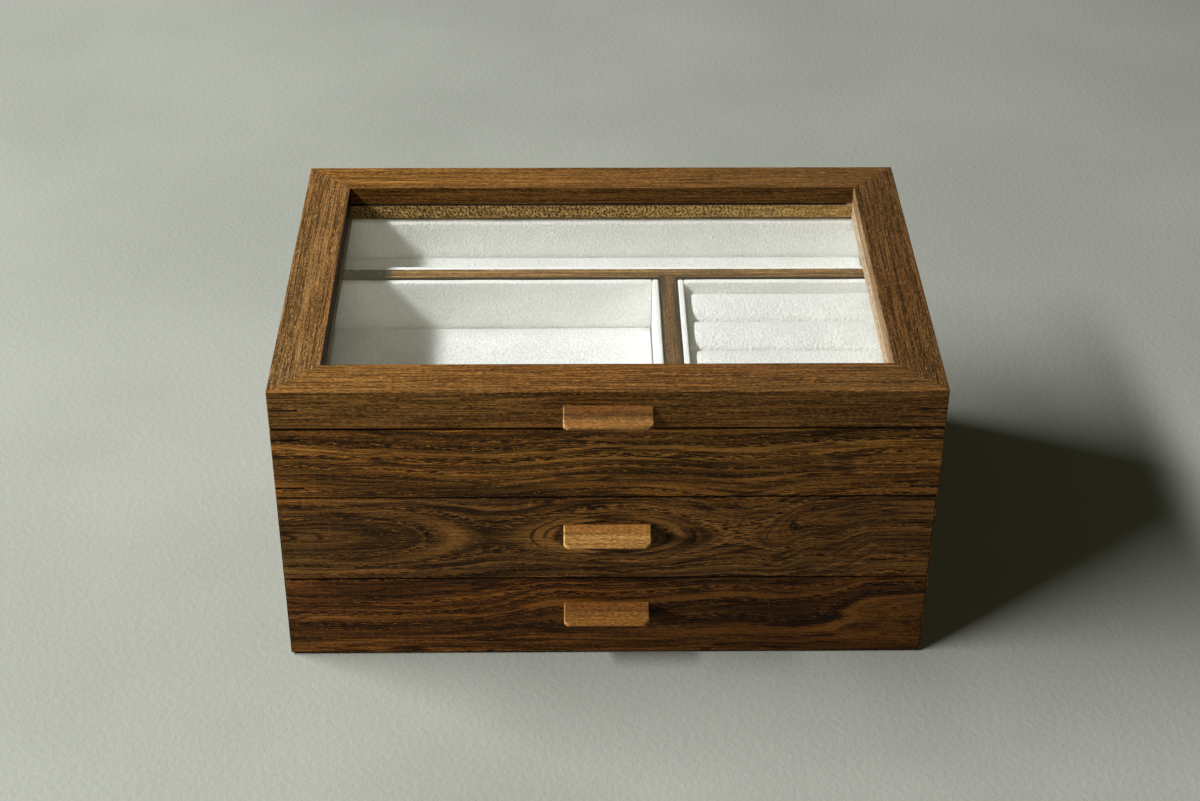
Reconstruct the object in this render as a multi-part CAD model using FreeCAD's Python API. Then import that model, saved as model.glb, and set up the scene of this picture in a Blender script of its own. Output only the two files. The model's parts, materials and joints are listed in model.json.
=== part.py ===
import FreeCAD, Part
import math
import os

# A hardwood jewellery case: a hinged lid with a glass pane over three lined trays, and two lined drawers below.
# Millimetres. +Z is up, -Y is the front, and the origin is the middle of the felt underside it stands on.

# Case
CASE_WIDTH = 300.0
CASE_DEPTH = 206.0
WALL_THICKNESS = 12.0
EDGE_ROUND = 0.5
FELT_THICKNESS = 1.0
FELT_INSET = 14.0
BASE_THICKNESS = 6.0
BASE_LAP = 6.0
SHELF_THICKNESS = 5.0
TRAY_FLOOR_THICKNESS = 3.5
GROOVE_DEPTH = 5.0
PANEL_CLEARANCE = 0.1

# Front boards and lid, from the bottom up
LOWER_FRONT_HEIGHT = 44.8
UPPER_FRONT_HEIGHT = 46.4
FRONT_RAIL_HEIGHT = 37.2
LID_HEIGHT = 19.5
FRONT_GAP = 0.6
LID_GAP = 0.9

# Lid frame and glass
LID_FRAME_WIDTH = 22.0
GLASS_THICKNESS = 2.0
GLASS_RECESS = 9.0
GLASS_LAP = 6.0
GLASS_CLEARANCE = 0.5
TAPE_THICKNESS = 0.4
BEAD_HEIGHT = 7.1
BUMPER_RADIUS = 3.0
BUMPER_INSET = 30.0
BUMPER_CLEARANCE = 0.05

# Splines let into the mitred corners
SPLINE_LEG = 13.3
SPLINE_THICKNESS = 0.9
SPLINE_EDGE = 5.3
SPLINE_CLEARANCE = 0.02

# Dividers and lined trays under the lid
REAR_COMPARTMENT_DEPTH = 51.6
RING_COMPARTMENT_WIDTH = 102.0
DIVIDER_THICKNESS = 8.3
DIVIDER_DROP = 3.7
DIVIDER_END_GAP = 0.7
DIVIDER_HOUSING = 2.0
TRAY_RIM_DROP = 4.2
TRAY_WALL = 3.2
TRAY_BASE = 1.3
TRAY_GAP = 0.4
RIM_ROUND = 1.0
BACK_BOARD_THICKNESS = 7.5
BACK_BOARD_DROP = 0.2

# Cushions in the trays and drawers
PAD_GAP = 0.3
PAD_CROWN = 0.8
PAD_DRAW_IN = 0.4
LEFT_PAD_HEIGHT = 2.5
REAR_PAD_HEIGHT = 12.8
ROLL_COUNT = 4
ROLL_DROP = 3.6
ROLL_CROWN = 3.1
ROLL_DRAW_IN = 0.3
RING_STRIP_WIDTH = 11.0
CROWN_END_SHARE = 0.6

# Drawers
MITRE_GAP = 0.4
DRAWER_SIDE_THICKNESS = 6.0
DRAWER_BACK_THICKNESS = 6.0
DRAWER_BOTTOM_THICKNESS = 3.0
DRAWER_BOTTOM_RAISE = 3.0
DRAWER_GROOVE_DEPTH = 3.0
DRAWER_TONGUE_WIDTH = 3.0
DRAWER_TONGUE_DEPTH = 4.0
DRAWER_SIDE_CLEARANCE = 0.4
DRAWER_TOP_CLEARANCE = 0.8
DRAWER_RUN_CLEARANCE = 0.15
DRAWER_REAR_SPACE = 4.0
DRAWER_BACK_DROP = 2.0
DRAWER_TRAY_WALL = 2.4
DRAWER_TRAY_DROP = 1.5
DRAWER_PAD_HEIGHT = 2.5

# Pulls, one on the lid and one on each drawer
PULL_WIDTH = 40.0
PULL_REACH = 10.0
PULL_SCOOP = 4.8
PULL_LIP = 1.6
PULL_ROOT_HEIGHT = 8.0
PULL_CORNER_ROUND = 3.2
PULL_END_ROUND = 0.7
PULL_TONGUE_WIDTH = 32.0
PULL_TONGUE_HEIGHT = 3.0
PULL_TONGUE_DEPTH = 7.0
PULL_CLEARANCE = 0.1
LID_PULL_DROP = 7.5
UPPER_PULL_DROP = 15.4
LOWER_PULL_DROP = 14.5
SCOOP_REACH_SHARE = 0.42
SCOOP_DROP_SHARE = 0.74
LIP_START_SHARE = 0.96
LIP_END_SHARE = 0.98
LIP_MIDDLE_SHARE = 0.45
GRIP_REACH_SHARE = 0.47
GRIP_HOLLOW_SHARE = 0.84

# Stop hinges on the back
HINGE_INSET = 55.0
HINGE_LENGTH = 30.0
HINGE_LEAF_WIDTH = 9.0
HINGE_LEAF_THICKNESS = 1.2
HINGE_LEAF_CLEARANCE = 0.1
KNUCKLE_RADIUS = 2.2
KNUCKLE_GAP = 0.3
BARREL_CLEARANCE = 0.3
PIN_RADIUS = 1.0
PIN_CLEARANCE = 0.05
TAIL_LENGTH = 6.5
LID_OPEN_DEGREES = 95.0
TAIL_SPARE_DEGREES = 0.3
SCREW_RADIUS = 0.9
SCREW_LENGTH = 8.0
SCREW_TIP = 1.5
SCREW_HEAD_RADIUS = 1.9
SCREW_HEAD_HEIGHT = 1.0
SCREW_SLOT_WIDTH = 0.5
SCREW_SLOT_DEPTH = 0.4
SCREW_SPREAD = 9.0
SCREW_CLEARANCE = 0.05

# How far a cutting solid runs past what it cuts
OVERRUN = 5.0

# Heights and half sizes that follow from the values above
HALF_WIDTH = CASE_WIDTH / 2
HALF_DEPTH = CASE_DEPTH / 2
INNER_X = HALF_WIDTH - WALL_THICKNESS
INNER_Y = HALF_DEPTH - WALL_THICKNESS
CASE_BOTTOM = FELT_THICKNESS
BASE_TOP = CASE_BOTTOM + BASE_THICKNESS
LOWER_FRONT_TOP = CASE_BOTTOM + LOWER_FRONT_HEIGHT
UPPER_FRONT_BOTTOM = LOWER_FRONT_TOP + FRONT_GAP
UPPER_FRONT_TOP = UPPER_FRONT_BOTTOM + UPPER_FRONT_HEIGHT
RAIL_BOTTOM = UPPER_FRONT_TOP + FRONT_GAP
CASE_TOP = RAIL_BOTTOM + FRONT_RAIL_HEIGHT
LID_BOTTOM = CASE_TOP + LID_GAP
LID_TOP = LID_BOTTOM + LID_HEIGHT
SHELF_BOTTOM = LOWER_FRONT_TOP + FRONT_GAP / 2 - SHELF_THICKNESS / 2
SHELF_TOP = SHELF_BOTTOM + SHELF_THICKNESS
TRAY_FLOOR_TOP = RAIL_BOTTOM + TRAY_FLOOR_THICKNESS
TRAY_RIM = CASE_TOP - TRAY_RIM_DROP
DIVIDER_TOP = CASE_TOP - DIVIDER_DROP
LONG_DIVIDER_BACK = INNER_Y - REAR_COMPARTMENT_DEPTH
LONG_DIVIDER_FRONT = LONG_DIVIDER_BACK - DIVIDER_THICKNESS
CROSS_DIVIDER_RIGHT = INNER_X - RING_COMPARTMENT_WIDTH
CROSS_DIVIDER_LEFT = CROSS_DIVIDER_RIGHT - DIVIDER_THICKNESS
OPENING_X = HALF_WIDTH - LID_FRAME_WIDTH
OPENING_Y = HALF_DEPTH - LID_FRAME_WIDTH
GLASS_TOP = LID_TOP - GLASS_RECESS
GLASS_BOTTOM = GLASS_TOP - GLASS_THICKNESS
BEAD_TOP = GLASS_BOTTOM - TAPE_THICKNESS
HINGE_X = HALF_WIDTH - HINGE_INSET
HINGE_AXIS_Y = HALF_DEPTH + KNUCKLE_RADIUS + BARREL_CLEARANCE
HINGE_AXIS_Z = CASE_TOP + LID_GAP / 2
KNUCKLE_LENGTH = (HINGE_LENGTH - 2 * KNUCKLE_GAP) / 3
TAIL_DEGREES = (LID_OPEN_DEGREES + TAIL_SPARE_DEGREES) / 2
RAIL_SPLINE_HEIGHTS = (RAIL_BOTTOM + SPLINE_EDGE, CASE_TOP - SPLINE_EDGE)
LID_SPLINE_HEIGHTS = ((LID_BOTTOM + LID_TOP) / 2,)

UP = FreeCAD.Vector(0, 0, 1)
ALONG_X = FreeCAD.Vector(1, 0, 0)


# General shapes
def box(x0, x1, y0, y1, z0, z1):
    return Part.makeBox(x1 - x0, y1 - y0, z1 - z0, FreeCAD.Vector(x0, y0, z0))


def prism(plan_points, z0, z1):
    corners = [FreeCAD.Vector(x, y, z0) for x, y in plan_points]
    face = Part.Face(Part.makePolygon(corners + corners[:1]))
    return face.extrude(UP * (z1 - z0))


def prism_along_x(section_points, x0, x1):
    corners = [FreeCAD.Vector(x0, y, z) for y, z in section_points]
    face = Part.Face(Part.makePolygon(corners + corners[:1]))
    return face.extrude(ALONG_X * (x1 - x0))


def rounded_block(half_width, half_depth, z0, z1):
    """A block as wide and deep as the case whose outer edges are all eased."""
    block = box(-half_width, half_width, -half_depth, half_depth, z0, z1)
    return block.makeFillet(EDGE_ROUND, block.Edges)


def frame_member(side, half_width, half_depth, thickness, z0, z1):
    """One of the four mitred members that go round a rectangle."""
    ends = {
        "front": ((-1, -1), (1, -1)),
        "right": ((1, -1), (1, 1)),
        "back": ((1, 1), (-1, 1)),
        "left": ((-1, 1), (-1, -1)),
    }[side]
    outer = [(sx * half_width, sy * half_depth) for sx, sy in ends]
    inner = [(sx * (half_width - thickness), sy * (half_depth - thickness)) for sx, sy in reversed(ends)]
    return prism(outer + inner, z0, z1)


def eased_board(x0, x1, y0, y1, z0, z1, radius):
    """A board on edge whose two long top edges are rounded."""
    board = box(x0, x1, y0, y1, z0, z1)
    runs_along_x = x1 - x0 > y1 - y0

    def is_long_top_edge(edge):
        low = edge.BoundBox
        run = low.XLength if runs_along_x else low.YLength
        across = low.YLength if runs_along_x else low.XLength
        return low.ZMin > (z0 + z1) / 2 and run > across

    return board.makeFillet(radius, [edge for edge in board.Edges if is_long_top_edge(edge)])


def joined(shapes):
    whole = shapes[0].multiFuse(shapes[1:])
    return whole.removeSplitter()


def without(shape, cutters):
    for cutter in cutters:
        shape = shape.cut(cutter)
    return shape


# Splines
def corner_plate(sign_x, sign_y, height, leg, thickness):
    corner_x = sign_x * HALF_WIDTH
    corner_y = sign_y * HALF_DEPTH
    plan = (
        (corner_x, corner_y),
        (corner_x - sign_x * leg, corner_y),
        (corner_x, corner_y - sign_y * leg),
    )
    return prism(plan, height - thickness / 2, height + thickness / 2)


def spline_places():
    """Corner signs and height of every spline of the case: the front pairs, and a full row up each back corner."""
    pitch = RAIL_SPLINE_HEIGHTS[1] - RAIL_SPLINE_HEIGHTS[0]
    below = int((RAIL_SPLINE_HEIGHTS[0] - BASE_TOP - SPLINE_EDGE) // pitch)
    lower_heights = [RAIL_SPLINE_HEIGHTS[0] - pitch * (row + 1) for row in range(below)]
    places = []
    for sign_x in (-1, 1):
        places += [(sign_x, -1, height) for height in RAIL_SPLINE_HEIGHTS]
        places += [(sign_x, 1, height) for height in list(RAIL_SPLINE_HEIGHTS) + lower_heights]
    return places


def lid_spline_places():
    return [(sx, sy, height) for sx in (-1, 1) for sy in (-1, 1) for height in LID_SPLINE_HEIGHTS]


def splines(places, block):
    plates = [corner_plate(sx, sy, z, SPLINE_LEG, SPLINE_THICKNESS).common(block) for sx, sy, z in places]
    return Part.makeCompound(plates)


def spline_slots(places):
    leg = SPLINE_LEG + SPLINE_CLEARANCE
    thickness = SPLINE_THICKNESS + 2 * SPLINE_CLEARANCE
    return [corner_plate(sx, sy, z, leg, thickness) for sx, sy, z in places]


# Case panels
def panel(lap, front, z0, z1):
    """A flat panel that reaches into grooves in the sides and the back."""
    reach = lap - PANEL_CLEARANCE
    return box(-INNER_X - reach, INNER_X + reach, front, INNER_Y + reach, z0, z1)


def panel_groove(lap, z0, z1):
    """The room that a panel takes out of the walls round it."""
    return box(
        -INNER_X - lap, INNER_X + lap, -INNER_Y, INNER_Y + lap,
        z0 - PANEL_CLEARANCE, z1 + PANEL_CLEARANCE,
    )


def panel_grooves():
    base_rebate = panel_groove(BASE_LAP, CASE_BOTTOM - OVERRUN, BASE_TOP)
    shelf_groove = panel_groove(GROOVE_DEPTH, SHELF_BOTTOM, SHELF_TOP)
    floor_groove = panel_groove(GROOVE_DEPTH, RAIL_BOTTOM, TRAY_FLOOR_TOP)
    return [base_rebate, shelf_groove, floor_groove]


def case_wall(side):
    board = frame_member(side, HALF_WIDTH, HALF_DEPTH, WALL_THICKNESS, CASE_BOTTOM, CASE_TOP)
    board = board.common(rounded_block(HALF_WIDTH, HALF_DEPTH, CASE_BOTTOM, CASE_TOP))
    return without(board, panel_grooves() + spline_slots(spline_places()))


def back_wall():
    return without(case_wall("back"), hinge_recesses(-1))


def front_rail():
    board = frame_member("front", HALF_WIDTH, HALF_DEPTH, WALL_THICKNESS, RAIL_BOTTOM, CASE_TOP)
    board = board.common(rounded_block(HALF_WIDTH, HALF_DEPTH, RAIL_BOTTOM, CASE_TOP))
    return without(board, spline_slots(spline_places()))


def base_felt():
    half_width = HALF_WIDTH - FELT_INSET
    half_depth = HALF_DEPTH - FELT_INSET
    return box(-half_width, half_width, -half_depth, half_depth, 0, FELT_THICKNESS)


# Dividers
def long_divider():
    end = INNER_X - DIVIDER_END_GAP
    board = eased_board(
        -end, end, LONG_DIVIDER_FRONT, LONG_DIVIDER_BACK, TRAY_FLOOR_TOP, DIVIDER_TOP, EDGE_ROUND
    )
    housing = box(
        CROSS_DIVIDER_LEFT - PANEL_CLEARANCE, CROSS_DIVIDER_RIGHT + PANEL_CLEARANCE,
        LONG_DIVIDER_FRONT - OVERRUN, LONG_DIVIDER_FRONT + DIVIDER_HOUSING,
        TRAY_FLOOR_TOP - OVERRUN, DIVIDER_TOP + OVERRUN,
    )
    return board.cut(housing)


def cross_divider():
    return eased_board(
        CROSS_DIVIDER_LEFT, CROSS_DIVIDER_RIGHT,
        -INNER_Y + PANEL_CLEARANCE, LONG_DIVIDER_FRONT + DIVIDER_HOUSING - PANEL_CLEARANCE,
        TRAY_FLOOR_TOP, DIVIDER_TOP, EDGE_ROUND,
    )


# Lined trays and what lies in them
def lined_tray(x0, x1, y0, y1, z0, z1, wall):
    """A tray of covered boards: a floor and four walls that stand on it."""
    floor_top = z0 + TRAY_BASE
    boards = [
        box(x0, x1, y0, y1, z0, floor_top),
        eased_board(x0, x0 + wall, y0, y1, floor_top, z1, RIM_ROUND),
        eased_board(x1 - wall, x1, y0, y1, floor_top, z1, RIM_ROUND),
        eased_board(x0 + wall, x1 - wall, y0, y0 + wall, floor_top, z1, RIM_ROUND),
        eased_board(x0 + wall, x1 - wall, y1 - wall, y1, floor_top, z1, RIM_ROUND),
    ]
    return Part.makeCompound(boards)


def cushion_section(x, y0, y1, z0, edge_top, rise):
    """A flat-bottomed section with upright sides and an arched top."""
    low_front = FreeCAD.Vector(x, y0, z0)
    low_back = FreeCAD.Vector(x, y1, z0)
    high_front = FreeCAD.Vector(x, y0, edge_top)
    high_back = FreeCAD.Vector(x, y1, edge_top)
    crest = FreeCAD.Vector(x, (y0 + y1) / 2, edge_top + rise)
    return Part.Wire([
        Part.makeLine(low_front, low_back),
        Part.makeLine(low_back, high_back),
        Part.Arc(high_back, crest, high_front).toShape(),
        Part.makeLine(high_front, low_front),
    ])


def cushion(x0, x1, y0, y1, z0, height, crown, draw_in):
    """A pad whose top swells to the middle and whose long sides are drawn in between its corners."""
    edge_top = z0 + height - crown
    end_rise = crown * CROWN_END_SHARE
    sections = [
        cushion_section(x0, y0, y1, z0, edge_top, end_rise),
        cushion_section((x0 + x1) / 2, y0 + draw_in, y1 - draw_in, z0, edge_top, crown),
        cushion_section(x1, y0, y1, z0, edge_top, end_rise),
    ]
    return Part.makeLoft(sections, True, False)


def tray_bounds(place):
    """Outer plan limits of a tray under the lid: x0, x1, y0, y1."""
    front = -INNER_Y + TRAY_GAP
    front_trays_back = LONG_DIVIDER_FRONT - TRAY_GAP
    return {
        "rear": (-INNER_X + TRAY_GAP, INNER_X - TRAY_GAP, LONG_DIVIDER_BACK + TRAY_GAP, INNER_Y - TRAY_GAP),
        "left": (-INNER_X + TRAY_GAP, CROSS_DIVIDER_LEFT - TRAY_GAP, front, front_trays_back),
        "ring": (CROSS_DIVIDER_RIGHT + TRAY_GAP, INNER_X - TRAY_GAP, front, front_trays_back),
    }[place]


def top_tray(place):
    return lined_tray(*tray_bounds(place), TRAY_FLOOR_TOP, TRAY_RIM, TRAY_WALL)


def inside(bounds, wall):
    """The plan limits left for cushions within a tray's walls."""
    x0, x1, y0, y1 = bounds
    margin = wall + PAD_GAP
    return x0 + margin, x1 - margin, y0 + margin, y1 - margin


def back_board():
    """A covered board that stands against the back wall of the rear tray and comes up to the lid."""
    x0, x1, _, y1 = inside(tray_bounds("rear"), TRAY_WALL)
    y0 = y1 - BACK_BOARD_THICKNESS
    return eased_board(x0, x1, y0, y1, TRAY_FLOOR_TOP + TRAY_BASE, CASE_TOP - BACK_BOARD_DROP, RIM_ROUND)


def left_pad():
    bounds = inside(tray_bounds("left"), TRAY_WALL)
    return cushion(*bounds, TRAY_FLOOR_TOP + TRAY_BASE, LEFT_PAD_HEIGHT, PAD_CROWN, PAD_DRAW_IN)


def rear_pad():
    """The thick pad before the back board."""
    x0, x1, y0, y1 = inside(tray_bounds("rear"), TRAY_WALL)
    y1 = y1 - BACK_BOARD_THICKNESS - PAD_GAP
    return cushion(x0, x1, y0, y1, TRAY_FLOOR_TOP + TRAY_BASE, REAR_PAD_HEIGHT, PAD_CROWN, PAD_DRAW_IN)


def ring_cushions():
    """The rolls that hold rings between them, back to front, and the narrow strip before the last one."""
    x0, x1, y0, y1 = inside(tray_bounds("ring"), TRAY_WALL)
    floor = TRAY_FLOOR_TOP + TRAY_BASE
    height = TRAY_RIM - ROLL_DROP - floor
    pitch = (y1 - y0 - RING_STRIP_WIDTH) / ROLL_COUNT
    cushions = {}
    for index in range(ROLL_COUNT):
        back = y1 - index * pitch
        cushions[f"ring_roll_{index + 1}"] = cushion(
            x0, x1, back - pitch + PAD_GAP, back, floor, height, ROLL_CROWN, ROLL_DRAW_IN
        )
    strip_crown = ROLL_CROWN * RING_STRIP_WIDTH / pitch
    strip_height = height - ROLL_CROWN + strip_crown
    cushions["ring_strip"] = cushion(
        x0, x1, y0, y0 + RING_STRIP_WIDTH, floor, strip_height, strip_crown, ROLL_DRAW_IN
    )
    return cushions


# Pulls
def pull_section(top):
    """The outline of a pull from the side: scooped on top, a rounded lip, hollowed below for a finger."""
    lip_bottom = PULL_SCOOP + PULL_LIP

    def at(reach, drop):
        return FreeCAD.Vector(-PULL_WIDTH / 2, -HALF_DEPTH - reach, top - drop)

    root_top = at(0, 0)
    lip_top = at(PULL_REACH * LIP_START_SHARE, PULL_SCOOP)
    lip_low = at(PULL_REACH * LIP_END_SHARE, lip_bottom)
    root_low = at(0, PULL_ROOT_HEIGHT)
    scoop = at(PULL_REACH * SCOOP_REACH_SHARE, PULL_SCOOP * SCOOP_DROP_SHARE)
    nose = at(PULL_REACH, PULL_SCOOP + PULL_LIP * LIP_MIDDLE_SHARE)
    grip = at(PULL_REACH * GRIP_REACH_SHARE, PULL_ROOT_HEIGHT * GRIP_HOLLOW_SHARE)
    return Part.Wire([
        Part.Arc(root_top, scoop, lip_top).toShape(),
        Part.Arc(lip_top, nose, lip_low).toShape(),
        Part.Arc(lip_low, grip, root_low).toShape(),
        Part.makeLine(root_low, root_top),
    ])


def pull_plan(top):
    """The pull's outline from above, with its two outer corners rounded."""
    block = box(
        -PULL_WIDTH / 2, PULL_WIDTH / 2, -HALF_DEPTH - PULL_REACH, -HALF_DEPTH,
        top - PULL_ROOT_HEIGHT - OVERRUN, top + OVERRUN,
    )
    front_y = block.BoundBox.YMin
    corners = [
        edge for edge in block.Edges
        if edge.BoundBox.ZLength > PULL_ROOT_HEIGHT and edge.CenterOfMass.y < (front_y - HALF_DEPTH) / 2
    ]
    return block.makeFillet(PULL_CORNER_ROUND, corners)


def pull_tongue(top, clearance):
    """The tongue that holds a pull in its board, or with a clearance the mortise for it."""
    half_width = PULL_TONGUE_WIDTH / 2 + clearance
    half_height = PULL_TONGUE_HEIGHT / 2 + clearance
    middle = top - PULL_ROOT_HEIGHT / 2
    back = -HALF_DEPTH + PULL_TONGUE_DEPTH + clearance
    return box(-half_width, half_width, -HALF_DEPTH, back, middle - half_height, middle + half_height)


def pull(top):
    bar = Part.Face(pull_section(top)).extrude(ALONG_X * PULL_WIDTH)
    head = bar.common(pull_plan(top))
    scooped_rim = [
        edge for edge in head.Edges
        if edge.BoundBox.ZMax > top - PULL_ROOT_HEIGHT / 2
        and edge.BoundBox.YLength > PULL_CORNER_ROUND
        and edge.BoundBox.XLength < PULL_CORNER_ROUND
        and edge.BoundBox.YMax > -HALF_DEPTH - PULL_END_ROUND
    ]
    head = head.makeFillet(PULL_END_ROUND, scooped_rim)
    return head.fuse(pull_tongue(top, 0)).removeSplitter()


# Lid
def lid_member(side):
    board = frame_member(side, HALF_WIDTH, HALF_DEPTH, LID_FRAME_WIDTH, LID_BOTTOM, LID_TOP)
    board = board.common(rounded_block(HALF_WIDTH, HALF_DEPTH, LID_BOTTOM, LID_TOP))
    rebate_x = OPENING_X + GLASS_LAP
    rebate_y = OPENING_Y + GLASS_LAP
    rebate = box(-rebate_x, rebate_x, -rebate_y, rebate_y, LID_BOTTOM - OVERRUN, GLASS_TOP)
    return without(board, [rebate] + spline_slots(lid_spline_places()))


def lid_glass():
    half_width = OPENING_X + GLASS_LAP - GLASS_CLEARANCE
    half_depth = OPENING_Y + GLASS_LAP - GLASS_CLEARANCE
    return box(-half_width, half_width, -half_depth, half_depth, GLASS_BOTTOM, GLASS_TOP)


def glass_tape():
    """The dark tape that beds the glass on its beads."""
    half_width = OPENING_X + GLASS_LAP - GLASS_CLEARANCE
    half_depth = OPENING_Y + GLASS_LAP - GLASS_CLEARANCE
    sheet = box(-half_width, half_width, -half_depth, half_depth, BEAD_TOP, GLASS_BOTTOM)
    return sheet.cut(box(-OPENING_X, OPENING_X, -OPENING_Y, OPENING_Y, LID_BOTTOM, GLASS_TOP))


def glass_bead(side):
    width = GLASS_LAP - PANEL_CLEARANCE
    return frame_member(side, OPENING_X + width, OPENING_Y + width, width, BEAD_TOP - BEAD_HEIGHT, BEAD_TOP)


def lid_bumpers():
    y = -HALF_DEPTH + WALL_THICKNESS / 2
    height = LID_GAP - BUMPER_CLEARANCE
    places = [FreeCAD.Vector(sign * (HALF_WIDTH - BUMPER_INSET), y, CASE_TOP) for sign in (-1, 1)]
    return Part.makeCompound([Part.makeCylinder(BUMPER_RADIUS, height, place) for place in places])


# Hinges. The side sign is -1 for what belongs to the case and 1 for what belongs to the lid.
def leaf_faces(side_sign):
    """Heights of a leaf's face at the gap and of its face against the wood."""
    near = HINGE_AXIS_Z + side_sign * LID_GAP / 2
    return near, near + side_sign * HINGE_LEAF_THICKNESS


def knuckle_spans(side_sign, hinge_x):
    starts = [hinge_x - HINGE_LENGTH / 2 + index * (KNUCKLE_LENGTH + KNUCKLE_GAP) for index in range(3)]
    own = starts[1:2] if side_sign > 0 else starts[0::2]
    return [(start, start + KNUCKLE_LENGTH) for start in own]


def axis_cylinder(radius, x0, x1):
    return Part.makeCylinder(radius, x1 - x0, FreeCAD.Vector(x0, HINGE_AXIS_Y, HINGE_AXIS_Z), ALONG_X)


def tail_strip(side_sign, inner_radius, x0, x1):
    """A stop plate whose bearing face lies on a plane through the hinge axis."""
    angle = math.radians(TAIL_DEGREES)
    along_y = math.cos(angle)
    along_z = side_sign * math.sin(angle)
    across_y = -math.sin(angle)
    across_z = side_sign * math.cos(angle)
    corners = []
    for radius, offset in (
        (inner_radius, 0), (TAIL_LENGTH, 0), (TAIL_LENGTH, HINGE_LEAF_THICKNESS), (inner_radius, HINGE_LEAF_THICKNESS)
    ):
        y = HINGE_AXIS_Y + radius * along_y + offset * across_y
        z = HINGE_AXIS_Z + radius * along_z + offset * across_z
        corners.append((y, z))
    return prism_along_x(corners, x0, x1)


def screw_places(hinge_x):
    y = HALF_DEPTH - HINGE_LEAF_WIDTH / 2
    return [(hinge_x + sign * SCREW_SPREAD, y) for sign in (-1, 1)]


def screw_body(x, y, side_sign, clearance):
    """A countersunk screw, or with a clearance the hole that it fills."""
    near, _ = leaf_faces(side_sign)
    into_wood = UP * side_sign
    shank_length = SCREW_LENGTH - SCREW_TIP + clearance
    head = Part.makeCone(
        SCREW_HEAD_RADIUS + clearance, SCREW_RADIUS + clearance, SCREW_HEAD_HEIGHT,
        FreeCAD.Vector(x, y, near), into_wood,
    )
    shank = Part.makeCylinder(SCREW_RADIUS + clearance, shank_length, FreeCAD.Vector(x, y, near), into_wood)
    tip = Part.makeCone(
        SCREW_RADIUS + clearance, 0, SCREW_TIP + clearance,
        FreeCAD.Vector(x, y, near + side_sign * shank_length), into_wood,
    )
    return joined([head, shank, tip])


def screw(x, y, side_sign):
    near, _ = leaf_faces(side_sign)
    slot_low, slot_high = sorted((near - side_sign * OVERRUN, near + side_sign * SCREW_SLOT_DEPTH))
    slot = box(
        x - SCREW_HEAD_RADIUS - OVERRUN, x + SCREW_HEAD_RADIUS + OVERRUN,
        y - SCREW_SLOT_WIDTH / 2, y + SCREW_SLOT_WIDTH / 2, slot_low, slot_high,
    )
    return screw_body(x, y, side_sign, 0).cut(slot)


def hinge_screws(side_sign):
    places = screw_places(-HINGE_X) + screw_places(HINGE_X)
    return Part.makeCompound([screw(x, y, side_sign) for x, y in places])


def hinge_leaf(side_sign, hinge_x):
    near, far = leaf_faces(side_sign)
    low, high = sorted((near, far))
    x0 = hinge_x - HINGE_LENGTH / 2
    x1 = hinge_x + HINGE_LENGTH / 2
    pieces = [box(x0, x1, HALF_DEPTH - HINGE_LEAF_WIDTH, HALF_DEPTH, low, high)]
    for start, end in knuckle_spans(side_sign, hinge_x):
        pieces.append(box(start, end, HALF_DEPTH, HINGE_AXIS_Y, low, high))
        pieces.append(axis_cylinder(KNUCKLE_RADIUS, start, end))
        pieces.append(tail_strip(side_sign, 0, start, end))
    pieces.append(tail_strip(side_sign, KNUCKLE_RADIUS + BARREL_CLEARANCE, x0, x1))
    bore = axis_cylinder(PIN_RADIUS + PIN_CLEARANCE, x0 - OVERRUN, x1 + OVERRUN)
    holes = [screw_body(x, y, side_sign, SCREW_CLEARANCE) for x, y in screw_places(hinge_x)]
    return without(joined(pieces), [bore] + holes)


def hinge_pin(hinge_x):
    return axis_cylinder(PIN_RADIUS, hinge_x - HINGE_LENGTH / 2, hinge_x + HINGE_LENGTH / 2)


def hinge_recesses(side_sign):
    """What the two hinges take out of the back of the case or of the lid: leaf beds and screw holes."""
    near, far = leaf_faces(side_sign)
    low, high = sorted((near - side_sign * OVERRUN, far + side_sign * HINGE_LEAF_CLEARANCE))
    cutters = []
    for hinge_x in (-HINGE_X, HINGE_X):
        half_length = HINGE_LENGTH / 2 + HINGE_LEAF_CLEARANCE
        cutters.append(box(
            hinge_x - half_length, hinge_x + half_length,
            HALF_DEPTH - HINGE_LEAF_WIDTH - HINGE_LEAF_CLEARANCE, HALF_DEPTH + OVERRUN, low, high,
        ))
        cutters += [screw_body(x, y, side_sign, SCREW_CLEARANCE) for x, y in screw_places(hinge_x)]
    return cutters


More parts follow.
